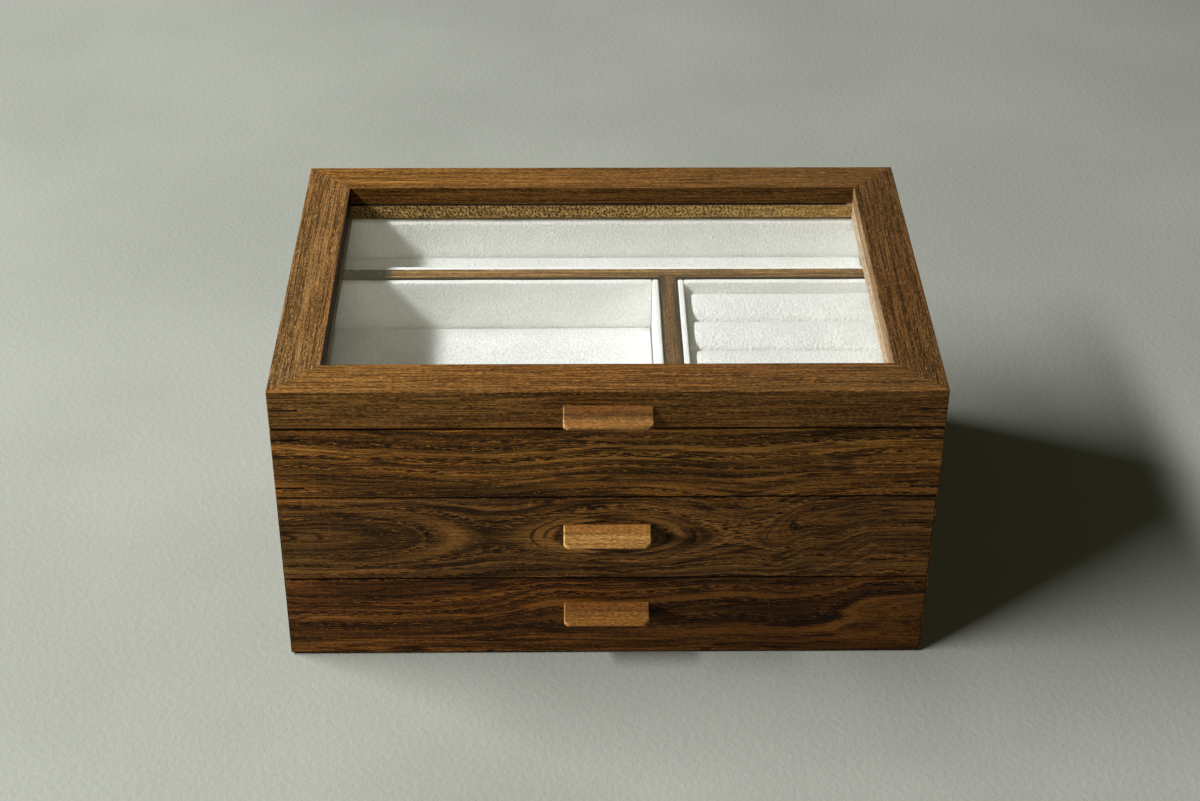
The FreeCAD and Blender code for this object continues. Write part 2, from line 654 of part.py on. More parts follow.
# Drawers
def drawer(name, front_bottom, front_top, box_bottom, box_top, pull_top):
    outer_x = INNER_X - DRAWER_SIDE_CLEARANCE
    inner_x = outer_x - DRAWER_SIDE_THICKNESS
    front_back = -INNER_Y
    box_back = INNER_Y - DRAWER_REAR_SPACE
    bottom_low = box_bottom + DRAWER_BOTTOM_RAISE
    bottom_high = bottom_low + DRAWER_BOTTOM_THICKNESS
    bottom_groove = box(
        -inner_x - DRAWER_GROOVE_DEPTH, inner_x + DRAWER_GROOVE_DEPTH,
        front_back - DRAWER_GROOVE_DEPTH, box_back + OVERRUN,
        bottom_low - PANEL_CLEARANCE, bottom_high + PANEL_CLEARANCE,
    )

    def tongue(sign, clearance):
        x0, x1 = sorted((sign * (inner_x - clearance), sign * (inner_x + DRAWER_TONGUE_WIDTH + clearance)))
        return box(
            x0, x1, front_back - DRAWER_TONGUE_DEPTH - clearance, front_back,
            box_bottom - clearance, box_top + clearance,
        )

    def side(sign):
        x0, x1 = sorted((sign * inner_x, sign * outer_x))
        board = box(x0, x1, front_back, box_back, box_bottom, box_top)
        return joined([board, tongue(sign, 0)]).cut(bottom_groove)

    def front():
        half_width = HALF_WIDTH - MITRE_GAP
        board = frame_member("front", half_width, HALF_DEPTH, WALL_THICKNESS, front_bottom, front_top)
        board = board.common(rounded_block(half_width, HALF_DEPTH, front_bottom, front_top))
        mortises = [tongue(sign, PANEL_CLEARANCE) for sign in (-1, 1)]
        return without(board, mortises + [bottom_groove, pull_tongue(pull_top, PULL_CLEARANCE)])

    def back():
        return box(
            -inner_x, inner_x, box_back - DRAWER_BACK_THICKNESS, box_back,
            bottom_high, box_top - DRAWER_BACK_DROP,
        )

    def bottom():
        reach = DRAWER_GROOVE_DEPTH - PANEL_CLEARANCE
        return box(-inner_x - reach, inner_x + reach, front_back - reach, box_back, bottom_low, bottom_high)

    tray = (
        -inner_x + TRAY_GAP, inner_x - TRAY_GAP,
        front_back + TRAY_GAP, box_back - DRAWER_BACK_THICKNESS - TRAY_GAP,
    )
    pad = inside(tray, DRAWER_TRAY_WALL)
    tray_top = box_top - DRAWER_BACK_DROP - DRAWER_TRAY_DROP
    return {
        f"{name}_drawer_front": front(),
        f"{name}_drawer_left_side": side(-1),
        f"{name}_drawer_right_side": side(1),
        f"{name}_drawer_back": back(),
        f"{name}_drawer_bottom": bottom(),
        f"{name}_drawer_pull": pull(pull_top),
        f"{name}_drawer_tray": lined_tray(*tray, bottom_high, tray_top, DRAWER_TRAY_WALL),
        f"{name}_drawer_pad": cushion(*pad, bottom_high + TRAY_BASE, DRAWER_PAD_HEIGHT, PAD_CROWN, PAD_DRAW_IN),
    }


# Assembly
def case_nodes():
    case_block = rounded_block(HALF_WIDTH, HALF_DEPTH, CASE_BOTTOM, CASE_TOP)
    return {
        "side_left": case_wall("left"),
        "side_right": case_wall("right"),
        "back_wall": back_wall(),
        "front_rail": front_rail(),
        "base_panel": panel(BASE_LAP, -INNER_Y, CASE_BOTTOM, BASE_TOP),
        "drawer_shelf": panel(GROOVE_DEPTH, -INNER_Y, SHELF_BOTTOM, SHELF_TOP),
        "tray_floor": panel(GROOVE_DEPTH, -INNER_Y, RAIL_BOTTOM, TRAY_FLOOR_TOP),
        "base_felt": base_felt(),
        "case_splines": splines(spline_places(), case_block),
        "lid_bumpers": lid_bumpers(),
        "long_divider": long_divider(),
        "cross_divider": cross_divider(),
        "rear_tray": top_tray("rear"),
        "left_tray": top_tray("left"),
        "ring_tray": top_tray("ring"),
        "rear_back_board": back_board(),
        "rear_pad": rear_pad(),
        "left_pad": left_pad(),
        **ring_cushions(),
        "hinge_left_case_leaf": hinge_leaf(-1, -HINGE_X),
        "hinge_right_case_leaf": hinge_leaf(-1, HINGE_X),
        "hinge_left_pin": hinge_pin(-HINGE_X),
        "hinge_right_pin": hinge_pin(HINGE_X),
        "hinge_case_screws": hinge_screws(-1),
    }


def lid_nodes():
    lid_block = rounded_block(HALF_WIDTH, HALF_DEPTH, LID_BOTTOM, LID_TOP)
    pull_top = LID_TOP - LID_PULL_DROP
    return {
        "lid_front_rail": lid_member("front").cut(pull_tongue(pull_top, PULL_CLEARANCE)),
        "lid_back_rail": without(lid_member("back"), hinge_recesses(1)),
        "lid_left_stile": lid_member("left"),
        "lid_right_stile": lid_member("right"),
        "lid_splines": splines(lid_spline_places(), lid_block),
        "lid_glass": lid_glass(),
        "glass_tape": glass_tape(),
        "glass_bead_front": glass_bead("front"),
        "glass_bead_back": glass_bead("back"),
        "glass_bead_left": glass_bead("left"),
        "glass_bead_right": glass_bead("right"),
        "lid_pull": pull(pull_top),
        "hinge_left_lid_leaf": hinge_leaf(1, -HINGE_X),
        "hinge_right_lid_leaf": hinge_leaf(1, HINGE_X),
        "hinge_lid_screws": hinge_screws(1),
    }


def drawer_nodes():
    upper = drawer(
        "upper", UPPER_FRONT_BOTTOM, UPPER_FRONT_TOP,
        SHELF_TOP + DRAWER_RUN_CLEARANCE, RAIL_BOTTOM - DRAWER_TOP_CLEARANCE,
        UPPER_FRONT_TOP - UPPER_PULL_DROP,
    )
    lower = drawer(
        "lower", CASE_BOTTOM, LOWER_FRONT_TOP,
        BASE_TOP + DRAWER_RUN_CLEARANCE, SHELF_BOTTOM - DRAWER_TOP_CLEARANCE,
        LOWER_FRONT_TOP - LOWER_PULL_DROP,
    )
    return {**upper, **lower}


os.makedirs("parts", exist_ok=True)
for node_name, shape in {**case_nodes(), **lid_nodes(), **drawer_nodes()}.items():
    shape.exportStep(os.path.join("parts", node_name + ".step"))
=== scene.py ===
import json
import math

import bpy
import numpy as np
from mathutils import Matrix, Vector

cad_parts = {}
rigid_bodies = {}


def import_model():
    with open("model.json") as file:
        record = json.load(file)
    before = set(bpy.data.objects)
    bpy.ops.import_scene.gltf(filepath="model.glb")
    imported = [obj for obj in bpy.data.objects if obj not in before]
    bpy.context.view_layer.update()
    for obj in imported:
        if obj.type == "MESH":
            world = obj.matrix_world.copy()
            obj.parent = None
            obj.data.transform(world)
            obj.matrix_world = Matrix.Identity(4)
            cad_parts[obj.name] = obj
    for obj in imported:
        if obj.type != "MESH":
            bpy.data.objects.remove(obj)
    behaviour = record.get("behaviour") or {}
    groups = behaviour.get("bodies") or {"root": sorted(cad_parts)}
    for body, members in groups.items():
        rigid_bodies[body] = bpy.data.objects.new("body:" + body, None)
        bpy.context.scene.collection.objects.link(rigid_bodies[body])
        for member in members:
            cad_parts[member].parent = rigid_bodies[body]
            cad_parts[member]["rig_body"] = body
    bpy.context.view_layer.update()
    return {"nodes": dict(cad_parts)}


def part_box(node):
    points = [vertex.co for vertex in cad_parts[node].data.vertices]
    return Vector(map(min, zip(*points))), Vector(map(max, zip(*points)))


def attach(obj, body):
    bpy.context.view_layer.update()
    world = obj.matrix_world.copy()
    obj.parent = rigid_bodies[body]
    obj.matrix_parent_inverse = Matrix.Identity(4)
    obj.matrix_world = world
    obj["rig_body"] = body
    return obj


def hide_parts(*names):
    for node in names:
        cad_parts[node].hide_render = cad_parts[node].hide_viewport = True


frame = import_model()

# The looks of a hardwood jewellery case: a glass lid over lined trays, and two lined drawers.
# Lengths here are millimetres. What goes to Blender is metres, in the CAD frame.
MM = 0.001
soft_pieces = []

X_AXIS = (1.0, 0.0, 0.0)
Y_AXIS = (0.0, 1.0, 0.0)
Z_AXIS = (0.0, 0.0, 1.0)

# Wood tints, as linear colours of the board's body
FRONT_TINTS = {
    "front_rail": (0.150, 0.0620, 0.0108),
    "upper_drawer_front": (0.114, 0.0483, 0.0102),
    "lower_drawer_front": (0.0898, 0.0320, 0.0051),
}
LID_RAIL_TINTS = {
    "lid_front_rail": (0.180, 0.0782, 0.0174),
    "lid_back_rail": (0.189, 0.0885, 0.0192),
}
PULL_TINTS = {
    "lid_pull": (0.195, 0.0860, 0.0205),
    "upper_drawer_pull": (0.345, 0.172, 0.0450),
    "lower_drawer_pull": (0.216, 0.0880, 0.0162),
}
# The left stile is paler than the right partly in its own wood and partly as painted light and sheen from the
# window side
LEFT_STILE_TINT = (0.206, 0.102, 0.032)
RIGHT_STILE_TINT = (0.125, 0.0555, 0.0150)
SIDE_TINT = (0.130, 0.062, 0.017)
BEAD_TINT = (0.575, 0.358, 0.118)
# Painted shade: the left bead, which faces away from the window, is tinted much darker than the right bead
SHADED_LEFT_BEAD_TINT = (0.230, 0.148, 0.062)
RIGHT_BEAD_TINT = (0.600, 0.455, 0.305)
LONG_DIVIDER_TINT = (0.268, 0.138, 0.040)
CROSS_DIVIDER_TINT = (0.128, 0.062, 0.019)
DRAWER_TINT = (0.270, 0.165, 0.080)
SPLINE_TINT = (0.030, 0.018, 0.010)

# A board's streaks and pores, and the pale specks painted as glints along its pores, as shares of its body
# tint. The stops are where two of these sit on the ramp of tone.
DARK_SHARE = 0.16
SHADE_SHARE = 0.52
SHADE_STOP = 0.30
BODY_STOP = 0.62
PALE_SHARES = (1.80, 1.88, 2.15)
COOL_SHARES = (0.97, 1.02, 1.02)
WARM_SHARES = (1.04, 0.98, 0.90)
PORE_SHARE = 0.09
GLINT_SHARE = 2.6

# Edges with painted shade or light: painted shade along the top of each front board, under the gap above it,
# and along the dividers' top edges, painted shade on the lid's inner faces, and painted light on the right
# stile's inner face
GAP_DEPTH = 0.28
GLASS_LAP = 5.5
LIT_FACE_DEPTH = 0.5
LIT_FACE_SHARES = (2.2, 2.9, 4.6)
INNER_SHADE_DEPTH = 0.6
PAINTED_SHADE_SHARES = (0.22, 0.22, 0.25)
RAIL_INNER_SHADE_SHARES = (0.66, 0.62, 0.50)
DIVIDER_SHADE_DEPTH = 0.9
DIVIDER_SHADE_SHARES = (0.08, 0.08, 0.09)

# Each pull has painted shade in its scoop, near the board, and a painted highlight along its two ends
PULL_LIP_DEPTH = 6.1
PULL_ROOT_DEPTH = 7.0
PULL_ROOT_SHADE_SHARES = (0.68, 0.57, 0.42)
PULL_HIGHLIGHT_DEPTH = 0.9
PULL_HIGHLIGHT_SHARES = (1.8, 2.3, 3.4)

# Painted light: tint shares at the left and right ends of the fronts and of the lid's rails, paler towards
# the window
FRONT_FALLOFF_SHARES = (1.28, 0.78)
LOWER_FALLOFF_SHARES = (1.40, 0.68)
LID_FALLOFF_SHARES = (1.28, 0.86)

# Across the rings, where a board's layers lean so that its top and its side both show them
RAIL_ACROSS = (0.0, 0.8, 0.6)
STILE_ACROSS = (0.8, 0.0, 0.6)
PULL_ACROSS = (0.0, 0.6, 0.8)

# Noise: its middle, the limits that most of it lies between, and how many finer layers it has
NOISE_MIDDLE = 0.5
NOISE_LIMITS = (0.3, 0.7)
MOTTLE_LIMITS = (0.35, 0.65)
FINE_DETAIL = 1.0
MEDIUM_DETAIL = 2.0
RICH_DETAIL = 3.0

# Wood grain: the run and width of each layer, and the limits of noise between which it fades in
WANDER_RUN = 170.0
WANDER_WIDTH = 38.0
RIPPLE_RUN = 26.0
RIPPLE_WIDTH = 7.0
SHIVER_RUN = 5.0
SHIVER_WIDTH = 2.0
SHIVER = 0.35
BAND_RUN = 210.0
STREAK_RUN = 60.0
STREAK_WIDTH = 1.6
FIBRE_RUN = 30.0
FIBRE_WIDTH = 0.5
PORE_RUN = 4.8
PORE_WIDTH = 0.46
PORE_LIMITS = (0.50, 0.57)
RING_ROUGHNESS = 0.6
ROW_LIMITS = (0.48, 0.40)
GRIT_RUN = 1.8
GRIT_WIDTH = 0.5
GRIT_HEIGHT_SHARE = 0.6
GLINT_LIMITS = (0.42, 0.34)
GLINT_GRIT_LIMITS = (0.48, 0.60)
GLINT_REST_SHARE = 0.15
VEIN_RUN = 64.0
VEIN_WIDTH = 4.2
VEIN_EDGE = 0.046
VEIN_SHARE = 0.13
SWEEP_RUN = 130.0
SWEEP_WIDTH = 13.0
SWEEP_LIMITS = (0.36, 0.64)
SWEEP_SHARES = (0.58, 1.34)
LULL_RUN = 46.0
LULL_WIDTH = 10.0
LULL_LIMITS = (0.44, 0.56)
DRIFT_RUN = 150.0
DRIFT_WIDTH = 45.0
WOOD_ROUGHNESS = (0.52, 0.78)
WOOD_BUMP = 0.16
END_REACH = 150.0

# The flecked beads: their lean, their ground, and dark ticks that are jittered and broken up
BEAD_MIDDLE = 136.0
BEAD_LEAN = 0.7
BEAD_GROUND_LENGTHS = (9.0, 1.1, 4.0)
BEAD_JITTER_LENGTHS = (3.4, 1.8, 3.0)
BEAD_BREAK_LENGTHS = (1.4, 1.3, 3.0)
BEAD_JITTER = 18.0
BEAD_TICK_PITCH = 2.1
BEAD_TICK_SHARE = 0.16
BEAD_TICK_LIMITS = (0.46, 0.59)
BEAD_TICK_DARK_SHARE = 0.16
BEAD_END_SHARES = (1.0, 0.5)
BEAD_DEEP_SHARE = 0.60
BEAD_PALE_SHARE = 1.40
BEAD_ROUGHNESS = (0.50, 0.70)
BEAD_GLOSS = 0.08

# Kinds of figure: ring pitch, width of the growth bands, how far they wander and ripple, the shares of bands,
# streaks, fibres and grit in the tone, half the spread of tone that the board shows, the shares of pores
# between the rows and in them, the share of painted glints in the rows, the gloss, and the share of veins if
# any
FIGURED = {
    "pitch": 3.2, "band_width": 3.8, "wander": 9.0, "ripple": 2.6,
    "layer_shares": (0.31, 0.23, 0.28, 0.18), "calm": 0.108, "pore_share": 0.26, "row_share": 0.95,
    "glint_share": 0.81, "gloss": 0.08, "vein_share": 1.0,
}
SANDY = {
    "pitch": 1.3, "band_width": 5.0, "wander": 6.0, "ripple": 0.9,
    "layer_shares": (0.10, 0.20, 0.38, 0.32), "calm": 0.160, "pore_share": 0.18, "row_share": 0.62,
    "glint_share": 0.81, "gloss": 0.08,
}
SATIN = {
    "pitch": 3.6, "band_width": 5.0, "wander": 6.0, "ripple": 1.5,
    "layer_shares": (0.26, 0.20, 0.14, 0.40), "calm": 0.25, "pore_share": 0.04, "row_share": 0.25,
    "glint_share": 0.21, "gloss": 0.15,
}
PLAIN = {
    "pitch": 2.2, "band_width": 6.0, "wander": 5.0, "ripple": 1.5,
    "layer_shares": (0.30, 0.25, 0.20, 0.25), "calm": 0.20, "pore_share": 0.22, "row_share": 0.95,
    "glint_share": 0.81, "gloss": 0.08,
}
DIVIDER = {
    "pitch": 1.8, "band_width": 4.0, "wander": 4.0, "ripple": 0.8,
    "layer_shares": (0.25, 0.30, 0.25, 0.20), "calm": 0.10, "pore_share": 0.40, "row_share": 0.95,
    "glint_share": 0.81, "gloss": 0.08,
}
SMOOTH = {
    "pitch": 2.2, "band_width": 6.0, "wander": 5.0, "ripple": 0.8,
    "layer_shares": (0.30, 0.30, 0.20, 0.20), "calm": 0.40, "pore_share": 0.03, "row_share": 0.95,
    "glint_share": 0.81, "gloss": 0.08,
}

# The front's figure: rings nest round a heart line, near it at first and further off at each saddle.
HEART_HEIGHT = 77.0
HEART_REACH = 3.0
# Saddles: place along the board, half length and extra distance of the rings.
HEART_SADDLES = (
    (-52.0, 44.0, 13.0),
    (58.0, 38.0, 14.0),
)
# Climbs, where the rings rise to the right: start, finish, height, half height and drop of the ring count.
FRONT_CLIMBS = (
    (74.0, 96.0, 68.0, 24.0, -14.0),
    (100.0, 124.0, 62.0, 26.0, -13.0),
    (-62.0, -22.0, 36.0, 16.0, -11.0),
    (70.0, 150.0, 26.0, 14.0, -9.0),
)

# Suede: its tints, the size of its clouds, nubs and nap, and their shares in how it lies
SUEDE_TINT = (0.840, 0.841, 0.833)
SUEDE_DEEP_TINT = (0.700, 0.704, 0.690)
# Painted light: the walls' suede is a paler copy of the lining's, for the light that the walls catch
LIT_WALL_SUEDE_TINT = (0.960, 0.958, 0.943)
LIT_WALL_SUEDE_DEEP_TINT = (0.850, 0.849, 0.831)
SUEDE_CLOUD = 19.0
SUEDE_NUB = 1.3
SUEDE_NAP = 0.45
NUB_ROUGHNESS = 0.6
SUEDE_LIE_SHARES = (0.25, 0.55, 0.20)
SUEDE_LIE_LIMITS = (0.40, 0.60)
NAP_HEIGHT_SHARE = 0.4
SUEDE_ROUGHNESS = (0.86, 1.0)
SUEDE_GLOSS = 0.15
SUEDE_SHEEN = 0.45
SUEDE_SHEEN_ROUGHNESS = 0.4
SUEDE_BUMP = 0.9

# Felt
FELT_TINT = (0.050, 0.040, 0.035)
FELT_DEEP_TINT = (0.022, 0.018, 0.015)
FELT_HAIR = 0.5
FELT_HAIR_ROUGHNESS = 0.65
FELT_TUFT = 4.0
FELT_LIE_SHARES = (0.6, 0.4)
FELT_ROUGHNESS = (0.9, 1.0)
FELT_GLOSS = 0.1
FELT_SHEEN = 0.3
FELT_BUMP = 0.2

# Glass
GLASS_TINT = (0.985, 0.992, 0.986)
GLASS_SHADE = (0.968, 0.978, 0.970)
GLASS_IOR = 1.5
SMEAR_LENGTHS = (60.0, 25.0, 40.0)
SMEAR_LIMITS = (0.45, 0.75)
SMEAR_ROUGHNESS = 0.004
DUST_PITCH = 9.0
DUST_LIMITS = (0.035, 0.02)
DUST_SHARE = 0.5

# Painted shade: a black strip under the glass's edge, which stands in for the shadowed slit there
SHADE_STRIP_TINT = (0.012, 0.011, 0.010)
SHADE_STRIP_MOTTLE_TINT = (0.022, 0.020, 0.018)
SHADE_STRIP_LIT_START = 124.0
SHADE_STRIP_LIT_FINISH = 127.0
SHADE_STRIP_MOTTLE = 3.0
SHADE_STRIP_MOTTLE_LIMITS = (0.45, 0.70)
TAPE_ROUGHNESS = (0.65, 0.85)
TAPE_GLOSS = 0.2
TAPE_BUMP = 0.05

# Brass
BRASS_TINT = (0.700, 0.520, 0.240)
BRASS_DULL_TINT = (0.420, 0.290, 0.130)
BRUSHING_LENGTHS = (6.0, 0.12, 0.12)
BRASS_PATCH = 5.0
BRASS_PATCH_LIMITS = (0.55, 0.75)
BRASS_ROUGHNESS = (0.26, 0.46)
BRASS_BUMP = 0.01

# Floor
FLOOR_TINT = (0.374, 0.389, 0.342)
FLOOR_DEEP_TINT = (0.336, 0.350, 0.306)
FLOOR_HALF_WIDTH = 9000.0
FLOOR_MOTTLE = 210.0
FLOOR_MOTTLE_DETAIL = 4.0
FLOOR_PEBBLE = 3.2
FLOOR_ROUGHNESS = (0.50, 0.66)
FLOOR_GLOSS = 0.3
FLOOR_BUMP = 0.35

# Soft goods
TRAY_WALL = 3.2
DRAWER_TRAY_WALL = 2.4
TRAY_BASE = 1.3
RIM_ROUND_SHARE = 0.32
BACK_BOARD_ROUND = 1.3
BOARD_STEP = 5.0
WRAP_WAVE = 0.16
WRAP_WAVE_LENGTH = 37.0
# The waves that make up a slow swell: direction, pace and start
WAVE_PARTS = (
    ((1.0, 0.3, 0.0), 1.0, 0.0),
    ((-0.4, 0.7, 1.3), 1.37, 1.0),
    ((0.9, 1.1, 0.0), 0.61, 2.0),
)
PAD_STEP = 3.0
PAD_ROUND = 0.7
PAD_END_POWER = 30
PAD_SIDE_POWER = 2
ROLL_END_POWER = 50
ROLL_SIDE_POWER = 5
ROLL_ROUND = 1.1
PAD_CROWN = 0.8
ROLL_CROWN = 3.1
PAD_DRAW_IN = 0.4
PAD_START_INSET = 0.1
FELT_ROUND = 0.4
FELT_STEP = 14.0
BUMPER_RINGS = 6
BUMPER_SIDES = 32
BUMPER_RIM_POWER = 0.5
ROUND_STEPS = 4

# Cloth simulation of the pads
SIM_SCALE = 0.05
SIM_FRAMES = 16
PLUMP_PRESSURE = 4.0
PLUMP_LIMIT = 0.3
EVEN_ROUNDS = 12

# Camera
CAMERA_PLACE = (-17.1, -877.08, 678.34)
CAMERA_PITCH_DEGREES = 34.5
CAMERA_YAW_DEGREES = 0.991
CAMERA_ROLL_DEGREES = 0.3655
CAMERA_LENS = 64.186
CAMERA_SENSOR = 36.0

# Lamps: a wide window to the left, low strips that keep the far sides readable, a dim card that the glass
# mirrors, a glow on the lining, and a side lamp that rakes over the fronts so that the pulls cast shadows
WINDOW_AZIMUTH_DEGREES = 188.0
WINDOW_ELEVATION_DEGREES = 45.5
WINDOW_DISTANCE = 2500.0
WINDOW_WIDTH = 2360.0
WINDOW_HEIGHT = 210.0
WINDOW_POWER = 114.0
FILL_AZIMUTHS_DEGREES = (20.0, 75.0)
FILL_ELEVATION_DEGREES = 1.0
FILL_DISTANCE = 2600.0
FILL_WIDTH = 1500.0
FILL_HEIGHT = 200.0
FILL_POWER = 12.0
CARD_AZIMUTH_DEGREES = 90.0
CARD_ELEVATION_DEGREES = 32.0
CARD_DISTANCE = 2400.0
CARD_WIDTH = 1500.0
CARD_HEIGHT = 600.0
CARD_POWER = 0.8
CARD_TINT = (1.0, 0.96, 0.66)
GLOW_AZIMUTH_DEGREES = 265.0
GLOW_ELEVATION_DEGREES = 42.0
GLOW_DISTANCE = 2400.0
GLOW_WIDTH = 900.0
GLOW_HEIGHT = 600.0
GLOW_POWER = 10.0
GLOW_TINT = (1.0, 0.97, 0.80)
SIDE_AZIMUTH_DEGREES = 203.0
SIDE_ELEVATION_DEGREES = 10.0
SIDE_DISTANCE = 2400.0
SIDE_WIDTH = 300.0
SIDE_HEIGHT = 300.0
SIDE_POWER = 76.0
LAMP_TARGET_HEIGHT = 90.0
AMBIENT_TINT = (0.047, 0.046, 0.029)
BACKDROP_TINT = (0.400, 0.415, 0.380)


# Shader nodes
class Shader:
    """Short calls for the nodes that the materials use. Each returns the socket with its result."""

    def __init__(self, owner):
        owner.use_nodes = True
        self.nodes = owner.node_tree.nodes
        self.links = owner.node_tree.links
        self.nodes.clear()

    def node(self, kind, inputs, **settings):
        made = self.nodes.new(kind)
        for name, value in settings.items():
            setattr(made, name, value)
        for name, value in inputs.items():
            self.feed(made.inputs[name], value)
        return made

    def feed(self, socket, value):
        if isinstance(value, bpy.types.NodeSocket):
            self.links.new(value, socket)
        else:
            socket.default_value = value

    def place(self):
        return self.node("ShaderNodeTexCoord", {}).outputs["Object"]

    def millimetres(self):
        return self.vector("MULTIPLY", self.place(), divided(MM, MM, MM))

    def math(self, operation, first, second=0.0):
        return self.node("ShaderNodeMath", {0: first, 1: second}, operation=operation).outputs[0]

    def vector(self, operation, first, second):
        return self.node("ShaderNodeVectorMath", {0: first, 1: second}, operation=operation).outputs[0]

    def dot(self, first, second):
        made = self.node("ShaderNodeVectorMath", {0: first, 1: second}, operation="DOT_PRODUCT")
        return made.outputs["Value"]

    def combine(self, x, y, z):
        return self.node("ShaderNodeCombineXYZ", {"X": x, "Y": y, "Z": z}).outputs[0]

    def noise(self, vector, detail=2.0, roughness=0.5):
        inputs = {"Vector": vector, "Scale": 1.0, "Detail": detail, "Roughness": roughness}
        return self.node("ShaderNodeTexNoise", inputs).outputs[0]

    def texture(self, vector, lengths, detail=2.0, roughness=0.5):
        """Noise with spots of these lengths along the three axes."""
        return self.noise(self.vector("MULTIPLY", vector, divided(*lengths)), detail, roughness)

    def speckle(self, vector, length, detail=2.0, roughness=0.5):
        """Noise with spots of the same length all round."""
        return self.texture(vector, (length, length, length), detail, roughness)

    def line_noise(self, value, detail=2.0, roughness=0.5):
        inputs = {"W": value, "Scale": 1.0, "Detail": detail, "Roughness": roughness}
        return self.node("ShaderNodeTexNoise", inputs, noise_dimensions="1D").outputs[0]

    def cells(self, vector):
        inputs = {"Vector": vector, "Scale": 1.0}
        return self.node("ShaderNodeTexVoronoi", inputs).outputs

    def blend(self, layers, shares):
        """The layers added up, each times its share."""
        total = 0.0
        for layer, share in zip(layers, shares):
            total = self.math("ADD", self.math("MULTIPLY", layer, share), total)
        return total

    def spread(self, value, low, high, to_low=0.0, to_high=1.0):
        inputs = {"Value": value, "From Min": low, "From Max": high, "To Min": to_low, "To Max": to_high}
        made = self.node("ShaderNodeMapRange", inputs, interpolation_type="SMOOTHSTEP")
        return made.outputs[0]

    def mix(self, factor, first, second, kind="MIX"):
        inputs = {0: factor, 6: colour(first), 7: colour(second)}
        return self.node("ShaderNodeMix", inputs, data_type="RGBA", blend_type=kind).outputs[2]

    def ramp(self, factor, stops):
        made = self.node("ShaderNodeValToRGB", {"Fac": factor})
        elements = made.color_ramp.elements
        for element, (place, tint) in zip(elements, (stops[0], stops[-1])):
            element.position = place
            element.color = colour(tint)
        for place, tint in stops[1:-1]:
            elements.new(place).color = colour(tint)
        return made.outputs["Color"]

    def bump(self, height, distance, strength=1.0):
        inputs = {"Height": height, "Distance": distance * MM, "Strength": strength}
        return self.node("ShaderNodeBump", inputs).outputs[0]

    def principled(self, **inputs):
        named = {name.replace("_", " "): value for name, value in inputs.items()}
        return self.node("ShaderNodeBsdfPrincipled", named).outputs[0]

    def show(self, surface):
        self.node("ShaderNodeOutputMaterial", {"Surface": surface})


def colour(value):
    """A tint as the four numbers that a colour socket takes. A socket is passed on."""
    if isinstance(value, bpy.types.NodeSocket):
        return value
    return (*value, 1.0)


def divided(*lengths):
    return tuple(1 / length for length in lengths)


def shaded(tint, share):
    return tuple(channel * share for channel in tint)


def toned(tint, shares):
    return tuple(channel * share for channel, share in zip(tint, shares))


def new_material(name):
    material = bpy.data.materials.new(name)
    return material, Shader(material)


# Wood
def grain_axes(shader, along, across):
    """Millimetres along the fibres, across the rings and through the board."""
    place = shader.place()
    through = Vector(along).cross(Vector(across))
    return [shader.dot(place, Vector(axis) / MM) for axis in (along, across, through)]


def swell(shader, value, centre, half):
    """One where the value is at the centre, falling away to nothing on both sides."""
    offset = shader.math("MULTIPLY", shader.math("SUBTRACT", value, centre), 1 / half)
    return shader.math("EXPONENT", shader.math("MULTIPLY", shader.math("MULTIPLY", offset, offset), -1.0))


def climbed(shader, along, across, place):
    """The rings' place after the front's climbs, each of which fades above and below its own height."""
    for start, finish, height, half_height, lift in FRONT_CLIMBS:
        climb = shader.spread(along, start, finish, 0.0, lift)
        fade = swell(shader, across, height, half_height)
        place = shader.math("ADD", place, shader.math("MULTIPLY", climb, fade))
    return place


def nested(shader, along, place):
    """The rings' place as a distance from the heart line, so that rings close in tips along it."""
    reach = HEART_REACH
    for centre, half_length, extra in HEART_SADDLES:
        saddle = shader.math("MULTIPLY", swell(shader, along, centre, half_length), extra)
        reach = shader.math("ADD", saddle, reach)
    offset = shader.math("SUBTRACT", place, HEART_HEIGHT)
    offset_square = shader.math("MULTIPLY", offset, offset)
    reach_square = shader.math("MULTIPLY", reach, reach)
    return shader.math("SQRT", shader.math("ADD", offset_square, reach_square))


def bent_place(shader, along, across, through, figure):
    """The across coordinate after the tree's bends and ripples have moved it."""
    grain = shader.combine(along, across, through)
    place = across
    bends = (
        (WANDER_RUN, WANDER_WIDTH, figure["wander"]),
        (RIPPLE_RUN, RIPPLE_WIDTH, figure["ripple"]),
        (SHIVER_RUN, SHIVER_WIDTH, SHIVER),
    )
    for run, width, reach in bends:
        moved = shader.math("MULTIPLY", streaks(shader, grain, run, width, MEDIUM_DETAIL), reach)
        place = shader.math("ADD", place, moved)
    return place


def streaks(shader, flow, length, width, detail=FINE_DETAIL):
    """Noise drawn out along the fibres."""
    return shader.texture(flow, (length, width, width), detail)


def ground(shader, growth, fibres, grit, tint, figure):
    """The board's colour from its bands, streaks, fibres and grit, a little warmer or cooler in places."""
    layers = (
        streaks(shader, growth, BAND_RUN, figure["band_width"], MEDIUM_DETAIL),
        streaks(shader, growth, STREAK_RUN, STREAK_WIDTH, MEDIUM_DETAIL),
        streaks(shader, fibres, FIBRE_RUN, FIBRE_WIDTH),
        grit,
    )
    tone = shader.blend(layers, figure["layer_shares"])
    shown = shader.spread(tone, NOISE_MIDDLE - figure["calm"], NOISE_MIDDLE + figure["calm"])
    body = shader.ramp(shown, (
        (0.0, shaded(tint, DARK_SHARE)),
        (SHADE_STOP, shaded(tint, SHADE_SHARE)),
        (BODY_STOP, tint),
        (1.0, toned(tint, PALE_SHARES)),
    ))
    drift = streaks(shader, fibres, DRIFT_RUN, DRIFT_WIDTH, MEDIUM_DETAIL)
    warmth = shader.mix(shader.spread(drift, *MOTTLE_LIMITS), COOL_SHARES, WARM_SHARES)
    return shader.mix(1.0, body, warmth, "MULTIPLY")


